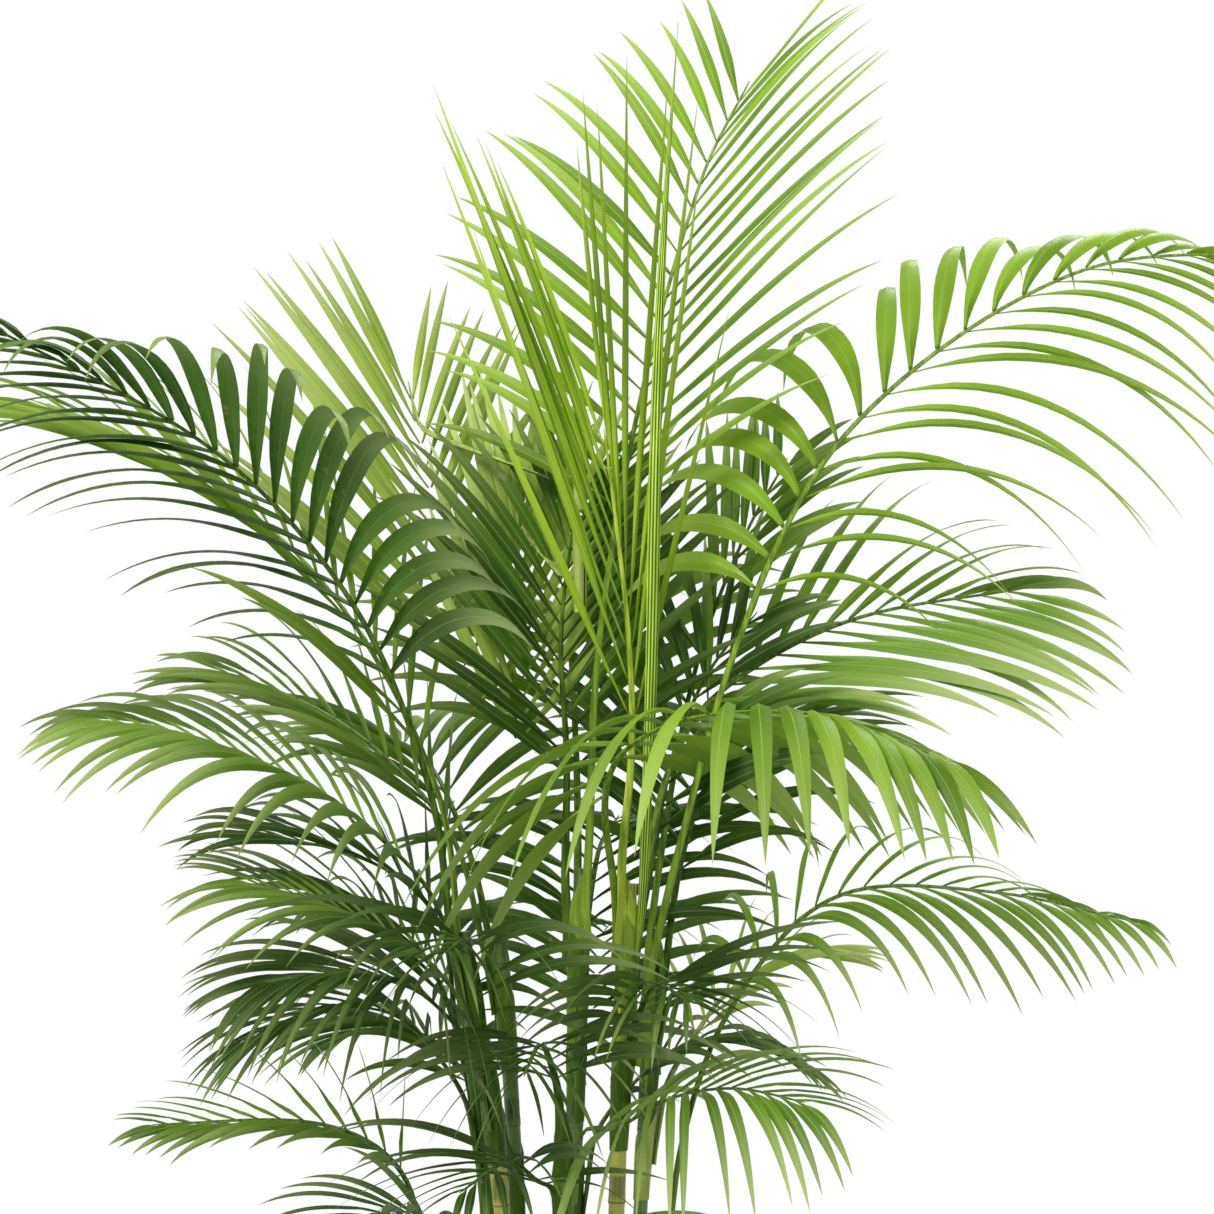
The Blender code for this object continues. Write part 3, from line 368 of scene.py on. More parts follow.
def leaf_material(slot_name):
    """Blade: parallel veins, pale midrib, shade and sun patches, a paler underside and a dry tip."""
    dark, middle, light, through = GREENS[slot_name]
    graph = Graph(slot_name)
    reach, along, tone_and_light = graph.marks("place")
    under = graph.marks("under")[0]
    patch = graph.noise(7.0, 3.0)
    fine = graph.noise(160.0, 2.0)
    vein = graph.wave(reach, VEIN_PITCH)
    vein_small = graph.wave(reach, FINE_VEIN_PITCH)
    rib = graph.between(graph.math("ABSOLUTE", reach), RIB_HALF * 0.3, RIB_HALF, 1.0, 0.0)
    # The third place mark is a random tone plus the frond's painted light lift; with the patches it sets
    # the painted shade and painted sunlight on each leaflet
    shade = graph.math("MULTIPLY_ADD", graph.math("SUBTRACT", patch, 0.5), 1.5,
                       graph.math("MULTIPLY_ADD", tone_and_light, 0.7, 0.15))
    colour = graph.mix(graph.between(shade, 0.0, 1.0), dark, middle)
    sunlit = graph.math("MULTIPLY", graph.between(along, 0.25, 1.0),
                        graph.math("MULTIPLY_ADD", tone_and_light, 0.4, 0.35))
    colour = graph.mix(sunlit, colour, light)
    veins = graph.math("MULTIPLY_ADD", vein_small, 0.03, graph.math("MULTIPLY", vein, 0.07))
    colour = graph.mix(veins, colour, light)
    colour = graph.mix(graph.math("MULTIPLY", rib, 0.45), colour, light)
    pale = tuple((a + b) / 2 for a, b in zip(light, UNDERSIDE))
    below = graph.math("MULTIPLY", under, graph.between(along, 0.35, 0.75, 0.10, 0.62))
    colour = graph.mix(below, colour, pale)
    colour = graph.mix(graph.between(along, 0.004, 0.028, 0.85, 0.0), colour, LEAF_JOINT)
    worn = graph.math("MULTIPLY", graph.between(along, 1 - WORN_TIP, 1.0),
                      graph.between(patch, 0.48, 0.58))
    speck = graph.math("MULTIPLY", graph.between(graph.noise(60.0, 2.0), 0.70, 0.78), 0.35)
    worn = graph.math("MAXIMUM", worn, speck)
    colour = graph.mix(worn, colour, DRY)
    rough = graph.math("MULTIPLY_ADD", fine, 0.16, graph.math("MULTIPLY_ADD", under, 0.16, 0.32))
    graph.set(Base_Color=colour, Roughness=rough, Specular_IOR_Level=LEAF_SPECULAR)
    height = graph.math("MULTIPLY_ADD", vein, 0.15, graph.math("MULTIPLY_ADD", fine, 0.15, rib))
    normal = graph.bump(height, LEAF_BUMP)
    graph.set(Normal=normal)
    back = graph.mix(graph.math("MULTIPLY", veins, 3.0), through, tuple(0.6 * c for c in through))
    back = graph.mix(graph.math("MULTIPLY", rib, 0.5), back, middle)
    back = graph.mix(worn, back, DRY)
    glow = graph.node("ShaderNodeBsdfTranslucent", {"Color": back, "Normal": normal})
    shaders = {0: LEAF_GLOW, 1: graph.shader.outputs[0], 2: glow.outputs[0]}
    both = graph.node("ShaderNodeMixShader", shaders)
    graph.tree.links.new(both.outputs[0], graph.tree.nodes["Material Output"].inputs["Surface"])
    return graph.material


def spear_material():
    """Unopened leaf: painted shade darkens the grooves and a painted highlight brightens the folded
    edges, streaked lengthwise.
    """
    dark, middle, light = SPEAR_TONES_WITH_PAINTED_LIGHT
    graph = Graph("spear")
    fold = graph.marks("place")[0]
    streak = graph.noise(30.0, 3.0, graph.stretched((9.0, 9.0, 0.4)))
    # Painted shade in the grooves and a painted highlight on the folded edges, broken up by lengthwise
    # streaks
    fold_light_and_streak = graph.math("MULTIPLY_ADD", graph.math("SUBTRACT", streak, 0.5), 0.9, fold)
    colour = graph.mix(graph.between(fold_light_and_streak, 0.20, 0.75), dark, middle)
    colour = graph.mix(graph.between(fold_light_and_streak, 0.75, 1.1), colour, light)
    graph.set(Base_Color=colour, Roughness=0.42, Specular_IOR_Level=LEAF_SPECULAR)
    graph.set(Normal=graph.bump(streak, STALK_BUMP))
    return graph.material


def stalk_material(slot_name):
    """Stalk: green with fine lengthwise streaks, paler at its foot and edges, flecked with brown."""
    dark, light = STALK_GREENS[slot_name]
    graph = Graph(slot_name + "_stalk")
    around, along, _ = graph.marks("place")
    streak = graph.noise(26.0, 3.0, graph.stretched((9.0, 9.0, 0.9)))
    colour = graph.mix(graph.between(streak, 0.30, 0.72), dark, light)
    colour = graph.mix(graph.between(along, 0.0, 0.30, 0.45, 0.0), colour, light)
    ridge = graph.between(graph.math("ABSOLUTE", around), 0.80, 1.0, 0.0, 0.5)
    colour = graph.mix(ridge, colour, light)
    fleck = graph.between(graph.noise(420.0, 1.0), 0.66, 0.74, 0.0, 0.55)
    flecked = graph.math("MULTIPLY", fleck, graph.between(along, 0.0, 0.4, 1.0, 0.15))
    colour = graph.mix(flecked, colour, STALK_FLECK)
    graph.set(Base_Color=colour, Roughness=graph.math("MULTIPLY_ADD", streak, 0.20, 0.32))
    graph.set(Specular_IOR_Level=LEAF_SPECULAR)
    height = graph.math("ADD", streak, graph.math("MULTIPLY", fleck, 0.4))
    graph.set(Normal=graph.bump(height, STALK_BUMP))
    return graph.material


def cane_material(slot_name):
    """Cane: ring scars, a waxy pale band over each, lengthwise streaks, weathered towards the soil."""
    dark, light, scar_colour = CANE_TONES[slot_name]
    graph = Graph(slot_name)
    _, scar, worn_low = graph.marks("place")
    streak = graph.noise(22.0, 4.0, graph.stretched((8.0, 8.0, 0.7)))
    mottle = graph.noise(38.0, 3.0)
    colour = graph.mix(graph.between(streak, 0.32, 0.70), dark, light)
    band = graph.between(scar, 0.0, 0.34, 0.55, 0.0)
    colour = graph.mix(band, colour, tuple(min(1.0, 1.25 * c + 0.03) for c in light))
    weathered = graph.math("MULTIPLY", graph.between(mottle, 0.52, 0.70), worn_low)
    colour = graph.mix(weathered, colour, scar_colour)
    line = graph.between(graph.math("ABSOLUTE", scar), 0.012, 0.045, 0.9, 0.0)
    colour = graph.mix(line, colour, tuple(0.55 * c for c in scar_colour))
    graph.set(Base_Color=colour, Roughness=graph.math("MULTIPLY_ADD", mottle, 0.25, 0.34))
    height = graph.math("MULTIPLY_ADD", mottle, 0.5, streak)
    graph.set(Normal=graph.bump(height, CANE_BUMP))
    return graph.material


def cuff_material():
    """Papery remains of an old leaf sheath: tan, with lengthwise fibres."""
    graph = Graph("sheath")
    fibre = graph.noise(60.0, 4.0, graph.stretched((10.0, 10.0, 0.5)))
    colour = graph.mix(graph.between(fibre, 0.30, 0.70), *CUFF_TONES)
    graph.set(Base_Color=colour, Roughness=0.72)
    graph.set(Normal=graph.bump(fibre, 0.0010))
    return graph.material


def soil_material():
    """Moist potting soil: dark crumb with fibres and a little lighter bark."""
    graph = Graph("soil")
    clod = graph.noise(90.0, 5.0, rough=0.7)
    grain = graph.noise(520.0, 3.0, rough=0.7)
    colour = graph.mix(graph.between(clod, 0.30, 0.72), *SOIL_TONES)
    colour = graph.mix(graph.between(grain, 0.58, 0.74, 0.0, 0.7), colour, SOIL_FIBRE)
    graph.set(Base_Color=colour, Roughness=graph.math("MULTIPLY_ADD", grain, 0.25, 0.68))
    graph.set(Normal=graph.bump(graph.math("MULTIPLY_ADD", clod, 1.5, grain), 0.0016))
    return graph.material


def pot_material():
    """Moulded matt plastic, warm grey, with a fine grain and soft scuffs."""
    graph = Graph("pot")
    grain = graph.noise(900.0, 2.0)
    cloud = graph.noise(6.0, 4.0)
    scuff = graph.noise(46.0, 5.0, graph.stretched((1.0, 1.0, 5.0)), 0.65)
    colour = graph.mix(graph.between(cloud, 0.3, 0.7), *POT_TONES)
    colour = graph.mix(graph.between(scuff, 0.62, 0.75, 0.0, 0.30), colour, POT_SCUFF)
    graph.set(Base_Color=colour, Roughness=graph.math("MULTIPLY_ADD", scuff, 0.20, 0.42))
    graph.set(Normal=graph.bump(graph.math("MULTIPLY_ADD", scuff, 0.2, grain), 0.00012))
    return graph.material


# ---------------------------------------------------------------- meshes


class Piece:
    """Corners, faces and per-corner marks of one piece, which can hold several closed bodies."""

    def __init__(self):
        self.corners = []
        self.marks = []
        self.faces = []
        self.skins = []
        self.under = []
        self.count = 0

    def add(self, corners, marks):
        first = self.count
        self.corners.append(corners)
        self.marks.append(marks)
        self.count += len(corners)
        return first

    def face(self, corners, skin, under=0.0):
        self.faces.append(corners)
        self.skins.append(skin)
        self.under.append(under)

    def tube(self, rows, marks, skin, under_from=None, tip=None, tip_mark=None):
        """Rings joined in a row, closed by a face or a tip. rows is (rings, corners, 3).

        Sides from under_from on are the underside.
        """
        rings, sides = rows.shape[:2]
        below = [1.0 if under_from is not None and k >= under_from else 0.0 for k in range(sides)]
        first = self.add(rows.reshape(-1, 3), marks.reshape(-1, 3))
        for ring in range(rings - 1):
            low = first + ring * sides
            for k in range(sides):
                n = (k + 1) % sides
                self.face((low + k, low + n, low + sides + n, low + sides + k), skin, below[k])
        self.face(tuple(first + k for k in reversed(range(sides))), skin)
        last = first + (rings - 1) * sides
        if tip is None:
            self.face(tuple(last + k for k in range(sides)), skin)
            return
        end = self.add(tip[None], tip_mark[None])
        for k in range(sides):
            self.face((last + k, last + (k + 1) % sides, end), skin, below[k])

    def build(self, name, materials):
        mesh = bpy.data.meshes.new(name)
        mesh.from_pydata(np.concatenate(self.corners).tolist(), [], self.faces)
        for material in materials:
            mesh.materials.append(material)
        mesh.polygons.foreach_set("material_index", self.skins)
        mesh.polygons.foreach_set("use_smooth", [True] * len(self.faces))
        place = mesh.attributes.new("place", "FLOAT_VECTOR", "POINT")
        place.data.foreach_set("vector", np.concatenate(self.marks).astype(np.float32).ravel())
        under = mesh.attributes.new("under", "FLOAT_VECTOR", "FACE")
        flags = np.zeros((len(self.faces), 3), np.float32)
        flags[:, 0] = self.under
        under.data.foreach_set("vector", flags.ravel())
        mesh.update()
        mesh.set_sharp_from_angle(angle=SHARP)
        made = bpy.data.objects.new(name, mesh)
        bpy.context.scene.collection.objects.link(made)
        return made


def put(piece, node):
    """Hangs a piece under the root body and hides the CAD node that it stands for."""
    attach(piece, "root")
    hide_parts(node)


class Net:
    """A CAD node's corners, each once, with the neighbours of each."""

    def __init__(self, node):
        mesh = frame["nodes"][node].data
        corners = np.empty(len(mesh.vertices) * 3)
        mesh.vertices.foreach_get("co", corners)
        corners = corners.reshape(-1, 3)
        keys = np.round(corners * SAME_CORNER).astype(np.int64)
        _, first, index = np.unique(keys, axis=0, return_index=True, return_inverse=True)
        index = index.reshape(-1)
        self.at = corners[first]
        self.near = [set() for _ in first]
        for edge in mesh.edges:
            a, b = (int(index[v]) for v in edge.vertices)
            if a != b:
                self.near[a].add(b)
                self.near[b].add(a)

    def layers(self, start, gone=frozenset(), width=3):
        """Rings of this many corners, one after the other, from the corner that they close on."""
        seen = {start} | set(gone)
        ring = self.near[start] - seen
        found = []
        while len(ring) == width:
            found.append(sorted(ring))
            seen |= ring
            ring = set().union(*(self.near[v] for v in ring)) - seen
        return found

    def span(self, ring):
        """The longest side of a ring of three: its two ends, then the corner that is left."""
        a, b, c = ring
        return max(((a, b, c), (b, c, a), (a, c, b)), key=self.width)

    def width(self, span):
        return np.linalg.norm(self.at[span[0]] - self.at[span[1]])

    def middle(self, span):
        return (self.at[span[0]] + self.at[span[1]]) / 2


def tube_middle(node):
    """Middle and radius of an upright tube, from circles fitted to level cuts through its solid."""
    net = Net(node)
    ends = np.array([
        (a, b) for a, near in enumerate(net.near) for b in near if net.at[a][2] < net.at[b][2]
    ])
    low, high = net.at[ends[:, 0]], net.at[ends[:, 1]]
    bottom, top = net.at[:, 2].min(), net.at[:, 2].max()
    levels = np.linspace(bottom, top, round((top - bottom) / SLICE_STEP) + 1)[1:-1]
    middles = []
    radii = []
    for level in levels:
        cut = (low[:, 2] < level) & (high[:, 2] >= level)
        share = (level - low[cut, 2]) / (high[cut, 2] - low[cut, 2])
        points = low[cut] + (high[cut] - low[cut]) * share[:, None]
        flat = points[:, :2]
        known = np.column_stack((flat, np.ones(len(flat))))
        middle = np.linalg.lstsq(known, (flat**2).sum(axis=1), rcond=None)[0][:2] / 2
        middles.append((*middle, level))
        radii.append([np.linalg.norm(flat - middle, axis=1).max()])
    return np.array(middles), np.array(radii)


def through(shares, points, at):
    """The one polynomial curve through the points at these shares, and its direction."""
    place = np.zeros((len(at), 3))
    way = np.zeros((len(at), 3))
    for k, point in enumerate(points):
        others = [s for j, s in enumerate(shares) if j != k]
        weight = np.poly1d(others, r=True) / np.prod([shares[k] - s for s in others])
        place += weight(at)[:, None] * point
        way += weight.deriv()(at)[:, None] * point
    return place, unit(way)


def leaflet_width(share):
    """Narrow at the root, widest a third of the way, then a long point."""
    rise = BASE_WIDTH + (1 - BASE_WIDTH) * np.sin(np.clip(share / FULL_AT, 0, 1) * math.pi / 2)
    fall = np.clip((share - FULL_AT) / (1 - FULL_AT), 0, 1)
    return rise * (1 - fall**TAPER)


def add_leaflet(piece, net, tip, rings, dice, girth, lift):
    """One leaflet along the frame's root, rings and tip: folded over its midrib, thin and pointed."""
    root = rings[-1]
    shares = (0.0, *(ONE_RING if len(rings) == 2 else TWO_RINGS), 1.0)
    spans = [net.span(ring) for ring in reversed(rings[:-1])]
    centres = [net.middle(span) for span in spans]
    start = net.at[root].mean(axis=0)
    share = np.linspace(0, 1, SECTIONS, endpoint=False) ** SECTION_BIAS
    place, way = through(shares, [start, *centres, net.at[tip]], share)
    full = max(net.width(span) for span in spans) * girth
    half = leaflet_width(share) * full / 2
    a, b, keel = spans[0]
    ring_blade = unit(net.at[b] - net.at[a])
    ring_face = net.middle(spans[0]) - net.at[keel]
    a, b, _ = net.span(root)
    root_blade = unit(net.at[b] - net.at[a])
    root_blade = root_blade if root_blade @ ring_blade > 0 else -root_blade
    turn = smooth(share / shares[1] * ROOT_TURNS)[:, None]
    blade = unit(root_blade * (1 - turn) + ring_blade * turn)
    blade = unit(blade - way * (blade * way).sum(axis=1, keepdims=True))
    face = np.cross(way, blade)
    middle = np.searchsorted(share, shares[1])
    face = face if face[middle] @ ring_face > 0 else -face
    twist = (dice.uniform(-TWIST, TWIST) * smooth((share - TWIST_FROM) / (1 - TWIST_FROM)))[:, None]
    cos, sin = np.cos(twist), np.sin(twist)
    blade, face = blade * cos + face * sin, face * cos - blade * sin
    fold = FOLD_OPEN + (FOLD_BASE - FOLD_OPEN) * np.exp(-((share / FOLD_FADES) ** 2))
    fold = fold * dice.uniform(*FOLD_VARIES)
    thick = BLADE_THICK * (TIP_THICK + (1 - TIP_THICK) * leaflet_width(share))
    rib = RIB_THICK * (1 + RIB_SWELL * np.exp(-share * RIB_SWELL_FADES))
    # A random tone, plus the frond's painted light lift
    tone_and_light = dice.random() + lift
    order = [*ACROSS, *reversed(ACROSS[1:-1])]
    rows = np.empty((SECTIONS, len(order), 3))
    marks = np.empty_like(rows)
    for k, x in enumerate(order):
        out = (half * x * np.cos(fold))[:, None]
        sag = (half * (abs(x) - 0.5) * np.sin(fold))[:, None]
        rows[:, k] = place + blade * out - face * sag
        if k >= len(ACROSS):
            depth = thick * (rib if x == 0 else 1.0)
            rows[:, k] -= face * depth[:, None]
        marks[:, k] = np.stack([half * x, share, np.full(SECTIONS, tone_and_light)], axis=1)
    tip_mark = np.array((0.0, 1.0, tone_and_light))
    piece.tube(rows, marks, 0, under_from=len(ACROSS) - 1, tip=net.at[tip], tip_mark=tip_mark)


def even_line(points, step):
    """Shares of the length at even steps along a line of points, each point's own, and the length."""
    lengths = np.concatenate(((0,), np.cumsum(np.linalg.norm(np.diff(points, axis=0), axis=1))))
    count = max(8, round(lengths[-1] / step))
    return np.linspace(0, 1, count + 1), lengths / lengths[-1], lengths[-1]


def eased(known, values, at):
    """values at other shares: straight between neighbours, then softened so that no corner shows."""
    found = np.stack([np.interp(at, known, column) for column in np.asarray(values).T], axis=1)
    for _ in range(2):
        found[1:-1] = (found[:-2] + 2 * found[1:-1] + found[2:]) / 4
    return found


def at_height(line, heights):
    """Middle and radius of a cane at these heights."""
    middles, radii = line
    flat = [np.interp(heights, middles[:, 2], middles[:, k]) for k in range(2)]
    sure = slice(CANE_END_RINGS, -CANE_END_RINGS)
    return np.stack([*flat, heights], axis=1), np.interp(heights, middles[sure, 2], radii[sure, 0])


def nearest_cane(foot):
    return min(CANE_LINES.values(), key=lambda line: np.linalg.norm(line[0] - foot, axis=1).min())


def off_cane(foot, line):
    """From a cane's middle level out to a stalk's foot."""
    return foot - at_height(line, foot[2:])[0][0]


def add_sheath(piece, foot, line):
    """The foot of a leaf: a sheath round the cane that leaves it uncovered opposite the stalk."""
    share = np.linspace(0, 1, SHEATH_RINGS)
    middle, radius = at_height(line, foot[2] - SHEATH_LENGTH + (SHEATH_LENGTH + SHEATH_RISE) * share)
    outward = unit(off_cane(foot, line))
    across = np.cross(UP, outward)
    low, high = SHEATH_WRAP
    wrap = low + (high - low) * smooth((share - SHEATH_OPENS) / (1 - SHEATH_OPENS))
    outside = radius + SHEATH_OUT[0] + (SHEATH_OUT[1] - SHEATH_OUT[0]) * share
    rows = np.empty((SHEATH_RINGS, 2 * SHEATH_COLUMNS, 3))
    for k in range(SHEATH_COLUMNS):
        angle = wrap * (2 * k / (SHEATH_COLUMNS - 1) - 1)
        way = outward * np.cos(angle)[:, None] + across * np.sin(angle)[:, None]
        rows[:, k] = middle + way * outside[:, None]
        rows[:, -1 - k] = middle + way * (radius + SHEATH_IN)[:, None]
    piece.tube(rows, np.zeros_like(rows), 1)


def add_stalk(piece, net, rings, tip):
    """Petiole and rachis as one: rounded below, grooved above, flared where it clasps the cane."""
    spans = [net.span(ring) for ring in reversed(rings)]
    tops = np.array([net.middle(span) for span in spans])
    keels = np.array([net.at[keel] for _, _, keel in spans])
    widths = np.array([[net.width(span) / 2] for span in spans])
    centres = tops * STALK_MIDDLE + keels * (1 - STALK_MIDDLE)
    centres = np.vstack((centres, net.at[tip]))
    above = np.vstack((tops - keels, (tops - keels)[-1]))
    widths = np.vstack((widths, widths[-1] * STALK_END))
    foot = centres[0]
    line = nearest_cane(foot)
    outward = off_cane(foot, line)
    first_above, first_width = above[0], widths[0]
    add_sheath(piece, foot, line)
    for drop, distance, depth, width in FOOT_STEPS:
        middle, radius = at_height(line, np.array((foot[2] - drop * FOOT_LENGTH,)))
        reach = radius[0] + distance * (np.linalg.norm(outward) - radius[0])
        centres = np.vstack((middle[0] + unit(outward) * reach, centres))
        above = np.vstack((first_above * depth, above))
        widths = np.vstack((first_width * width, widths))
    at, known, length = even_line(centres, STALK_STEP)
    place = eased(known, centres, at)
    way = unit(np.gradient(place, axis=0))
    height = eased(known, above, at)
    half = eased(known, widths, at)[:, 0]
    deep = np.linalg.norm(height, axis=1)
    deep[-1] *= STALK_END
    up = unit(height - way * (height * way).sum(axis=1, keepdims=True))
    side = np.cross(up, way)
    flare = 1 + FOOT_FLARE * np.clip(1 - at * length / FOOT_LENGTH, 0, 1) ** 2
    rows = np.empty((len(at), STALK_SIDES, 3))
    marks = np.empty_like(rows)
    for k, angle in enumerate(turns(STALK_SIDES)):
        x = math.cos(angle)
        y = 0.5 * math.sin(angle) - STALK_GROOVE * 0.5 * max(0.0, math.sin(angle)) ** 3
        rows[:, k] = place + side * (half * flare * x)[:, None] + up * (deep * y * STALK_FULL)[:, None]
        marks[:, k] = np.stack([np.full(len(at), x if y > 0 else 0.0), at, np.zeros(len(at))], axis=1)
    piece.tube(rows, marks, 1)


def build_frond(node, slot_name):
    """A frond: the stalk ends at the corner with the narrowest ring, and leaflets end at the others.

    Gives the number of leaflets.
    """
    net = Net(node)
    tips = [v for v, near in enumerate(net.near) if len(near) == 3]
    chains = {tip: net.layers(tip) for tip in tips}
    end = min((tip for tip in tips if chains[tip]), key=lambda tip: net.width(net.span(chains[tip][0])))
    leaflets = {tip: rings for tip, rings in chains.items() if tip != end and 2 <= len(rings) <= 3}
    gone = set(leaflets)
    for rings in leaflets.values():
        for ring in rings[:-1]:
            gone |= set(ring)
    dice = random.Random(node)
    piece = Piece()
    add_stalk(piece, net, net.layers(end, gone), end)
    far_girth, near_girth = GIRTH.get(node, (1.0, 1.0))
    for tip in sorted(leaflets, key=lambda v: tuple(net.at[v])):
        far = net.at[tip][1] > net.at[leaflets[tip][-1]].mean(axis=0)[1]
        girth = far_girth if far else near_girth
        add_leaflet(piece, net, tip, leaflets[tip], dice, girth, PAINTED_LIGHT_LIFT.get(node, 0.0))
    put(piece.build(node + "_leaf", (LEAF_SKINS[slot_name], STALK_SKINS[slot_name])), node)
    return len(leaflets)


def bulge(distance, height, middle, width):
    """What a rounded ridge, or a groove where height is negative, adds at this distance from a scar."""
    return height * np.exp(-(((distance - middle) / width) ** 2))


def build_cane(node, slot_name):
    """A cane with ring scars, slightly swollen at each, and cuffs of old sheaths low down."""
    centres, radii = tube_middle(node)
    radii[:CANE_END_RINGS] = radii[CANE_END_RINGS]
    radii[-CANE_END_RINGS:] = radii[-CANE_END_RINGS - 1]
    radii[1:-1] = (radii[:-2] + 2 * radii[1:-1] + radii[2:]) / 4
    at, known, length = even_line(centres, CANE_STEP)
    place = eased(known, centres, at)
    way = unit(np.gradient(place, axis=0))
    radius = eased(known, radii, at)[:, 0]
    side = unit(np.cross(way, BACK))
    front = np.cross(way, side)
    dice = random.Random(node)
    count = int(length / SCAR_PITCH)
    scars = SCAR_PITCH * (np.arange(1, count + 1) + dice.uniform(-SCAR_SHIFT, SCAR_SHIFT))
    gap = (at * length)[:, None] - scars[None]
    nearest = np.take_along_axis(gap, np.abs(gap).argmin(axis=1)[:, None], axis=1)[:, 0]
    rise = sum(bulge(nearest, *shape) for shape in (SCAR_RIDGE, SCAR_SWELL, SCAR_GROOVE))
    rows = np.empty((len(at), CANE_SIDES, 3))
    marks = np.empty_like(rows)
    sound_from, fades, least = WEATHER
    worn = np.clip(1 - (at * length - sound_from) / fades, least, 1)
    waver, pace = CANE_WAVER
    for k, angle in enumerate(turns(CANE_SIDES)):
        wobble = 1 + CANE_OVAL * math.sin(2 * angle) + waver * np.sin(at * length * pace + 3 * angle)
        reach = (radius * wobble + rise)[:, None]
        rows[:, k] = place + reach * (side * math.cos(angle) + front * math.sin(angle))
        marks[:, k] = np.stack([at * length, nearest / SCAR_PITCH * 2, worn], axis=1)
    piece = Piece()
    piece.tube(rows[:, ::-1], marks, 0)
    cuffs = [s for s in scars if CUFFS_BETWEEN[0] < s < CUFFS_BETWEEN[1]]
    dice.shuffle(cuffs)
    for scar in cuffs[:CUFFS[slot_name]]:
        add_cuff(piece, at * length, place, way, side, front, radius, scar, dice)
    put(piece.build(node + "_bark", (CANE_SKINS[slot_name], CUFF_SKIN)), node)


def add_cuff(piece, along, place, way, side, front, radius, scar, dice):
    """A papery collar with a ragged upper edge, standing a little off the cane."""
    tall = dice.uniform(*CUFF_TALL)
    phase = dice.uniform(0, 6)
    points = np.linspace(0, 1, CUFF_STEPS)
    heights = scar + points * tall
    centre = np.stack([np.interp(heights, along, place[:, k]) for k in range(3)], axis=1)
    base = np.interp(heights, along, radius)
    k_mid = int(np.searchsorted(along, scar))
    up, out_a, out_b = way[k_mid], side[k_mid], front[k_mid]
    shells = []
    for offset in (0.0, CUFF_THICK):
        rows = np.empty((CUFF_STEPS, CUFF_SIDES, 3))
        for k, angle in enumerate(turns(CUFF_SIDES)):
            ragged = 0.65 + 0.25 * math.sin(2 * angle + phase) + 0.10 * math.sin(7 * angle + 2 * phase)
            flare = CUFF_FLARE * points**2 * (1 + 0.4 * math.sin(3 * angle + phase))
            reach = base + CUFF_OUT + offset + flare
            lift = (points * tall * (ragged - 1))[:, None]
            outward = out_a * math.cos(angle) + out_b * math.sin(angle)
            rows[:, k] = centre + up * lift + reach[:, None] * outward
        shells.append(rows)
    inner, outer = shells
    corners = np.concatenate((outer, inner[::-1])).reshape(-1, 3)
    first = piece.add(corners, np.zeros_like(corners))
    rings = 2 * CUFF_STEPS
    for ring in range(rings):
        low = first + ring * CUFF_SIDES
        high = first + (ring + 1) % rings * CUFF_SIDES
        for k in range(CUFF_SIDES):
            n = (k + 1) % CUFF_SIDES
            piece.face((low + n, low + k, high + k, high + n), 1)


def build_spear(node):
    """The unopened leaf: a sword of tightly folded leaflets, its foot hidden in a cane."""
    centres, radii = tube_middle(node)
    tip = max(Net(node).at, key=lambda corner: corner[2])
    foot = centres[0]
    line = nearest_cane(foot)
    low, low_radius = at_height(line, np.array((foot[2] - FOOT_LENGTH,)))
    hidden_foot = low[0] + unit(off_cane(foot, line)) * low_radius[0]
    centres = np.vstack((hidden_foot, centres, tip))
    radii = np.vstack((radii[0] * SPEAR_FOOT_SHARE, radii, (SPEAR_TIP_R,)))
    at, known, _ = even_line(centres, SPEAR_STEP)
    place = eased(known, centres, at)
    radius = eased(known, radii, at)[:, 0]
    way = unit(np.gradient(place, axis=0))
    side = unit(np.cross(way, BACK))
    front = np.cross(way, side)
    around = SPEAR_FOLDS * SPEAR_FOLD_SIDES
    rows = np.empty((len(at), around, 3))
    marks = np.empty_like(rows)
    for k, turn in enumerate(turns(around)):
        angle = turn + SPEAR_TURN * at
        fold = 0.5 + 0.5 * math.cos(turn * SPEAR_FOLDS)
        flat = 1 - SPEAR_FLAT + SPEAR_FLAT * np.abs(np.cos(angle))
        out = (radius * (1 - SPEAR_FOLD_DEPTH + SPEAR_FOLD_DEPTH * fold) * flat)[:, None]
        rows[:, k] = place + out * (side * np.cos(angle)[:, None] + front * np.sin(angle)[:, None])
        marks[:, k] = np.stack([np.full(len(at), fold), at, np.zeros(len(at))], axis=1)
    piece = Piece()
    piece.tube(rows[:, ::-1], marks[:, ::-1], 0)
    put(piece.build(node + "_sword", (SPEAR_SKIN,)), node)


def turned_profile(profile, segments):
    """The profile (radius, height) turned once round Z, as a bmesh."""
    bm = bmesh.new()
    corners = [bm.verts.new((radius, 0.0, height)) for radius, height in profile]
    edges = [bm.edges.new(pair) for pair in zip(corners, corners[1:])]
    bmesh.ops.spin(bm, geom=corners + edges, cent=(0, 0, 0), axis=(0, 0, 1), angle=2 * math.pi,
                   steps=segments, use_duplicate=False)
    bmesh.ops.remove_doubles(bm, verts=bm.verts, dist=1e-6)
    bmesh.ops.recalc_face_normals(bm, faces=bm.faces)
    return bm


def object_of(name, bm, material, angle):
    """The bmesh as an object, smooth but for edges sharper than this angle in degrees."""
    mesh = bpy.data.meshes.new(name)
    bm.to_mesh(mesh)
    bm.free()
    mesh.shade_smooth()
    mesh.set_sharp_from_angle(angle=math.radians(angle))
    mesh.materials.append(material)
    made = bpy.data.objects.new(name, mesh)
    bpy.context.scene.collection.objects.link(made)
    return made


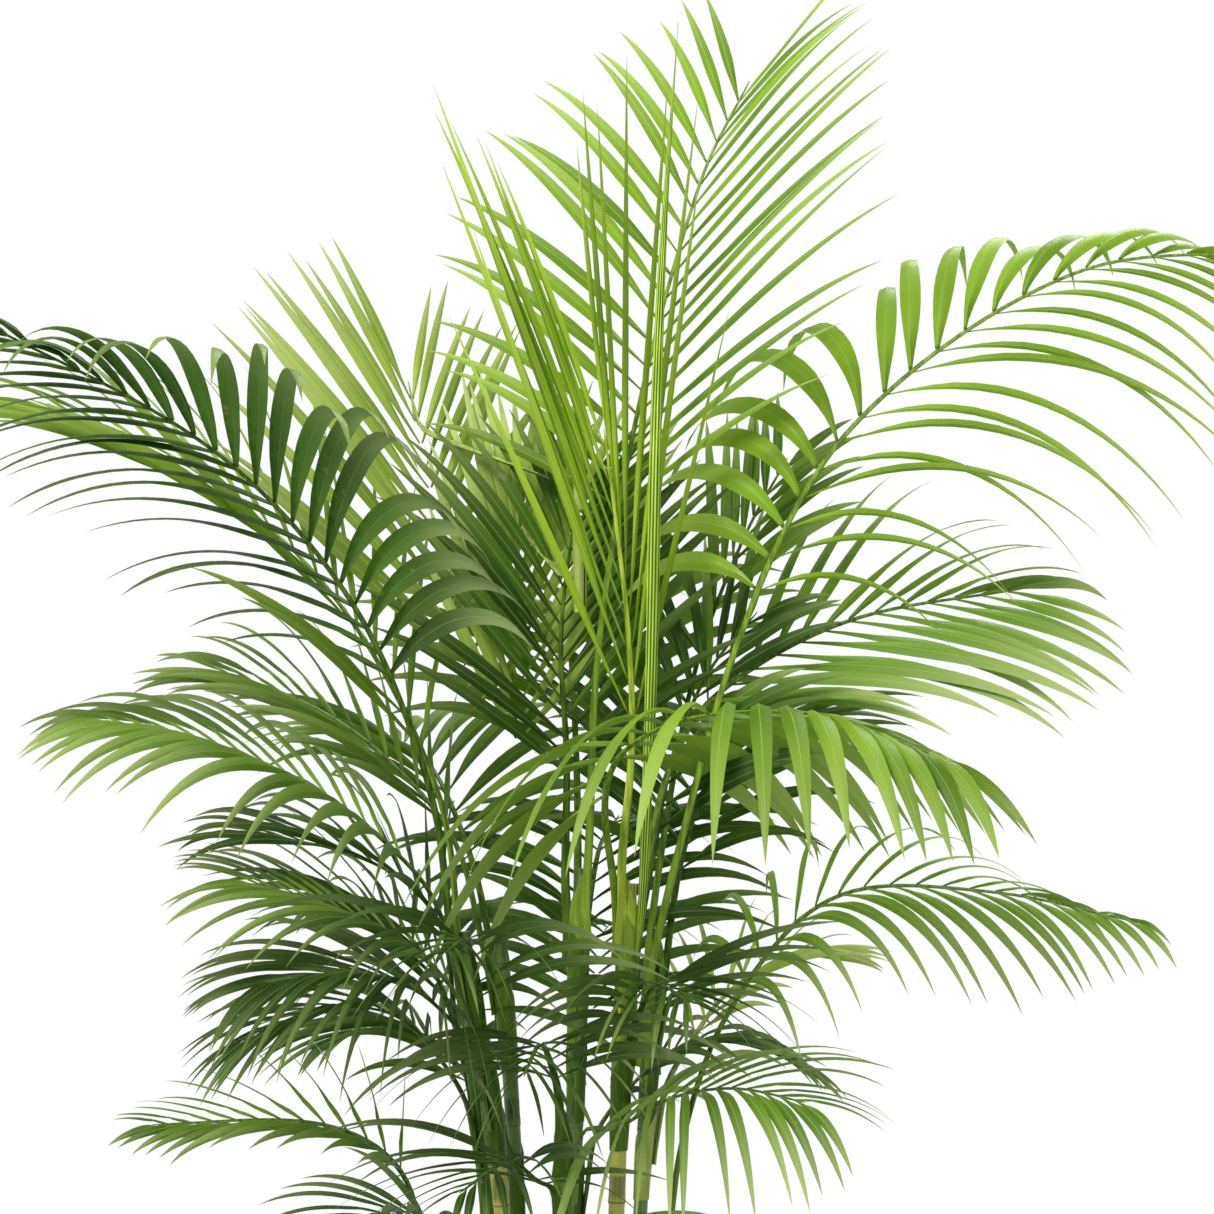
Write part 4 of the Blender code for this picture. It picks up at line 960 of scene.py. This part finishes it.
def rounded(corner, before, after, radius, steps=6):
    """Points of the curve that rounds off a corner between its two neighbours."""
    corner, before, after = (np.array(p, float) for p in (corner, before, after))
    start = corner + unit(before - corner) * radius
    stop = corner + unit(after - corner) * radius
    shares = np.linspace(0, 1, steps)[:, None]
    curve = (1 - shares) ** 2 * start + 2 * shares * (1 - shares) * corner + shares**2 * stop
    return [tuple(p) for p in curve]


def radii_of(node, low, high):
    """Least and greatest distance from the axis of the node's corners between two heights."""
    at = Net(node).at
    at = at[(at[:, 2] >= low) & (at[:, 2] <= high)]
    reach = np.hypot(at[:, 0], at[:, 1])
    return reach.min(), reach.max()


def build_pot():
    """A turned pot with a rim band, a foot ring and round drain holes."""
    (_, _, low), (_, _, high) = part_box("pot")
    rim_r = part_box("pot")[1][0]
    base_r = radii_of("pot", low, low + 0.004)[1]
    inner_top = radii_of("pot", high - 0.0005, high)[0]
    inner_base = radii_of("pot", POT_FLOOR - 0.001, POT_FLOOR + 0.001)[1]
    rim_low = high - RIM_TALL
    wall_r = base_r + (rim_r - RIM_OUT - base_r) * (rim_low - low) / (high - low)
    # Corners from the middle of the underside round to the middle of the floor, each with its rounding
    outline = (
        ((0.0, low + POT_FOOT), None),
        ((base_r - 0.010, low + POT_FOOT), 0.001),
        ((base_r - 0.007, low), 0.001),
        ((base_r, low), 0.0022),
        ((wall_r, rim_low), 0.0012),
        ((rim_r - 0.0008, rim_low + 0.0006), 0.0018),
        ((rim_r, high), 0.0024),
        ((inner_top, high), 0.0016),
        ((inner_base, POT_FLOOR), 0.004),
        ((0.0, POT_FLOOR), None),
    )
    profile = [outline[0][0]]
    for (before, _), (corner, size), (after, _) in zip(outline, outline[1:], outline[2:]):
        profile += rounded(corner, before, after, size)
    profile.append(outline[-1][0])
    pot = object_of("pot_shell", turned_profile(profile, POT_SEGMENTS), pot_material(), 40)
    holes = bmesh.new()
    for hole in range(DRAIN_HOLES):
        turn = 2 * math.pi * (hole + 0.5) / DRAIN_HOLES
        drill = bmesh.ops.create_cone(holes, cap_ends=True, segments=DRAIN_SIDES, radius1=DRAIN_HOLE_R,
                                      radius2=DRAIN_HOLE_R, depth=POT_FLOOR * 3)
        middle = (DRAIN_RING_R * math.cos(turn), DRAIN_RING_R * math.sin(turn), POT_FLOOR / 2)
        bmesh.ops.translate(holes, verts=drill["verts"], vec=middle)
    cutter = object_of("drill", holes, pot.data.materials[0], 40)
    cut = pot.modifiers.new("holes", "BOOLEAN")
    cut.object = cutter
    cut.operation = "DIFFERENCE"
    cut.solver = "EXACT"
    shape = bpy.data.meshes.new_from_object(pot.evaluated_get(bpy.context.evaluated_depsgraph_get()))
    pot.modifiers.clear()
    pot.data = shape
    bpy.data.objects.remove(cutter, do_unlink=True)
    put(pot, "pot")


def build_soil():
    """The soil: a lumpy crown with a dip at the wall, and loose crumbs on it."""
    low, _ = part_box("soil")
    at = Net("soil").at
    reach = np.hypot(at[:, 0], at[:, 1])
    radius = float(reach.max())
    surface = float(at[reach > 0.97 * radius, 2].max())
    base = float(reach[at[:, 2] < low[2] + 0.001].max())
    dice = random.Random("soil")
    waves = [
        (dice.uniform(*SOIL_WAVE_TURNS), dice.uniform(0, 6.3), dice.uniform(0, 6.3))
        for _ in range(SOIL_WAVES)
    ]

    def height(x, y):
        lumps = 0.0
        for pitch, heading, phase in waves:
            run = x * math.cos(heading) + y * math.sin(heading)
            lumps += math.sin(run * pitch + phase) / (6 + pitch / 12)
        share = min(1.0, math.hypot(x, y) / radius)
        return surface + (SOIL_LUMP * lumps + SOIL_CROWN) * (1 - share**6) - SOIL_SINK

    rows = [[(0.0, 0.0, height(0.0, 0.0))]]
    for ring in range(1, SOIL_RINGS + 1):
        reach = radius * ring / SOIL_RINGS
        flat = [(reach * math.cos(turn), reach * math.sin(turn)) for turn in turns(SOIL_SPOKES)]
        rows.append([(x, y, height(x, y)) for x, y in flat])
    rows.append([(base * x / radius, base * y / radius, float(low[2])) for x, y, _ in rows[-1]])
    bm = bmesh.new()
    grid = [[bm.verts.new(p) for p in row] for row in rows]
    for spoke in range(SOIL_SPOKES):
        after = (spoke + 1) % SOIL_SPOKES
        bm.faces.new((grid[0][0], grid[1][spoke], grid[1][after]))
        for inner, outer in zip(grid[1:], grid[2:]):
            bm.faces.new((inner[spoke], outer[spoke], outer[after], inner[after]))
    bm.faces.new(list(reversed(grid[-1])))
    for _ in range(CRUMBS):
        turn = dice.uniform(0, 2 * math.pi)
        reach = radius * CRUMB_REACH * math.sqrt(dice.random())
        x, y = reach * math.cos(turn), reach * math.sin(turn)
        size = dice.uniform(*CRUMB_SIZE) * dice.uniform(*CRUMB_SMALLER)
        crumb = bmesh.ops.create_icosphere(bm, subdivisions=1, radius=size)["verts"]
        squash = dice.uniform(*CRUMB_SQUASH)
        for corner in crumb:
            corner.co *= dice.uniform(*CRUMB_UNEVEN)
            corner.co.z *= squash
            corner.co.x += x
            corner.co.y += y
            corner.co.z += height(x, y) + size * squash * CRUMB_RISE
    put(object_of("soil_crumb", bm, soil_material(), 60), "soil")


# ---------------------------------------------------------------- the plant

LEAF_SKINS = {name: leaf_material(name) for name in GREENS}
STALK_SKINS = {name: stalk_material(name) for name in STALK_GREENS}
CANE_SKINS = {name: cane_material(name) for name in CANE_TONES}
CUFF_SKIN = cuff_material()
SPEAR_SKIN = spear_material()
SLOT_OF = {part["node"]: part["material_slot"] for part in frame["record"]["subparts"]}
CANE_LINES = {node: tube_middle(node) for node in sorted(SLOT_OF) if node.startswith("cane")}

leaflet_total = 0
for node, slot_name in sorted(SLOT_OF.items()):
    if node.startswith("frond"):
        leaflet_total += build_frond(node, slot_name)
    elif node.startswith("cane"):
        build_cane(node, slot_name)
    elif node == "spear":
        build_spear(node)
build_pot()
build_soil()
print("leaflets:", leaflet_total)


# ---------------------------------------------------------------- camera, floor and light


def build_floor():
    bm = bmesh.new()
    bmesh.ops.create_circle(bm, cap_ends=True, segments=FLOOR_SEGMENTS, radius=FLOOR_R)
    graph = Graph("floor")
    graph.set(Base_Color=FLOOR_COLOUR, Roughness=0.8)
    return object_of("floor", bm, graph.material, 30)


def area_light(name, place, aim, size, power, colour):
    lamp = bpy.data.lights.new(name, "AREA")
    lamp.shape = "DISK"
    lamp.size = size
    lamp.energy = power
    lamp.color = colour
    made = bpy.data.objects.new(name, lamp)
    made.location = place
    toward = Vector(aim) - Vector(place)
    made.rotation_euler = toward.to_track_quat("-Z", "Y").to_euler()
    bpy.context.scene.collection.objects.link(made)


build_floor()
plant_middle = tuple((np.array(CAD_BOX[0]) + np.array(CAD_BOX[1])) / 2)
for light_name, (place, size, watts, colour) in LIGHTS.items():
    area_light(light_name, place, plant_middle, size, watts, colour)

world = bpy.data.worlds.new("studio")
world.use_nodes = True
sky = world.node_tree
sky.nodes["Background"].inputs["Color"].default_value = SKY_COLOUR
direction = sky.nodes.new("ShaderNodeSeparateXYZ")
sky.links.new(sky.nodes.new("ShaderNodeTexCoord").outputs["Generated"], direction.inputs[0])
fade = sky.nodes.new("ShaderNodeMapRange")
sky.links.new(direction.outputs["Z"], fade.inputs["Value"])
for key, value in SKY_FADE.items():
    fade.inputs[key].default_value = value
sky.links.new(fade.outputs["Result"], sky.nodes["Background"].inputs["Strength"])
bpy.context.scene.world = world

lens = bpy.data.cameras.new("camera")
lens.sensor_width = SENSOR
lens.lens = SENSOR * abs(CAMERA_FROM[1]) / VIEW_WIDTH
lens.clip_end = FAR_CLIP
camera = bpy.data.objects.new("camera", lens)
camera.location = CAMERA_FROM
camera.rotation_euler = (math.pi / 2, 0, 0)
bpy.context.scene.collection.objects.link(camera)
bpy.context.scene.camera = camera
bpy.context.scene.view_settings.view_transform = "Standard"
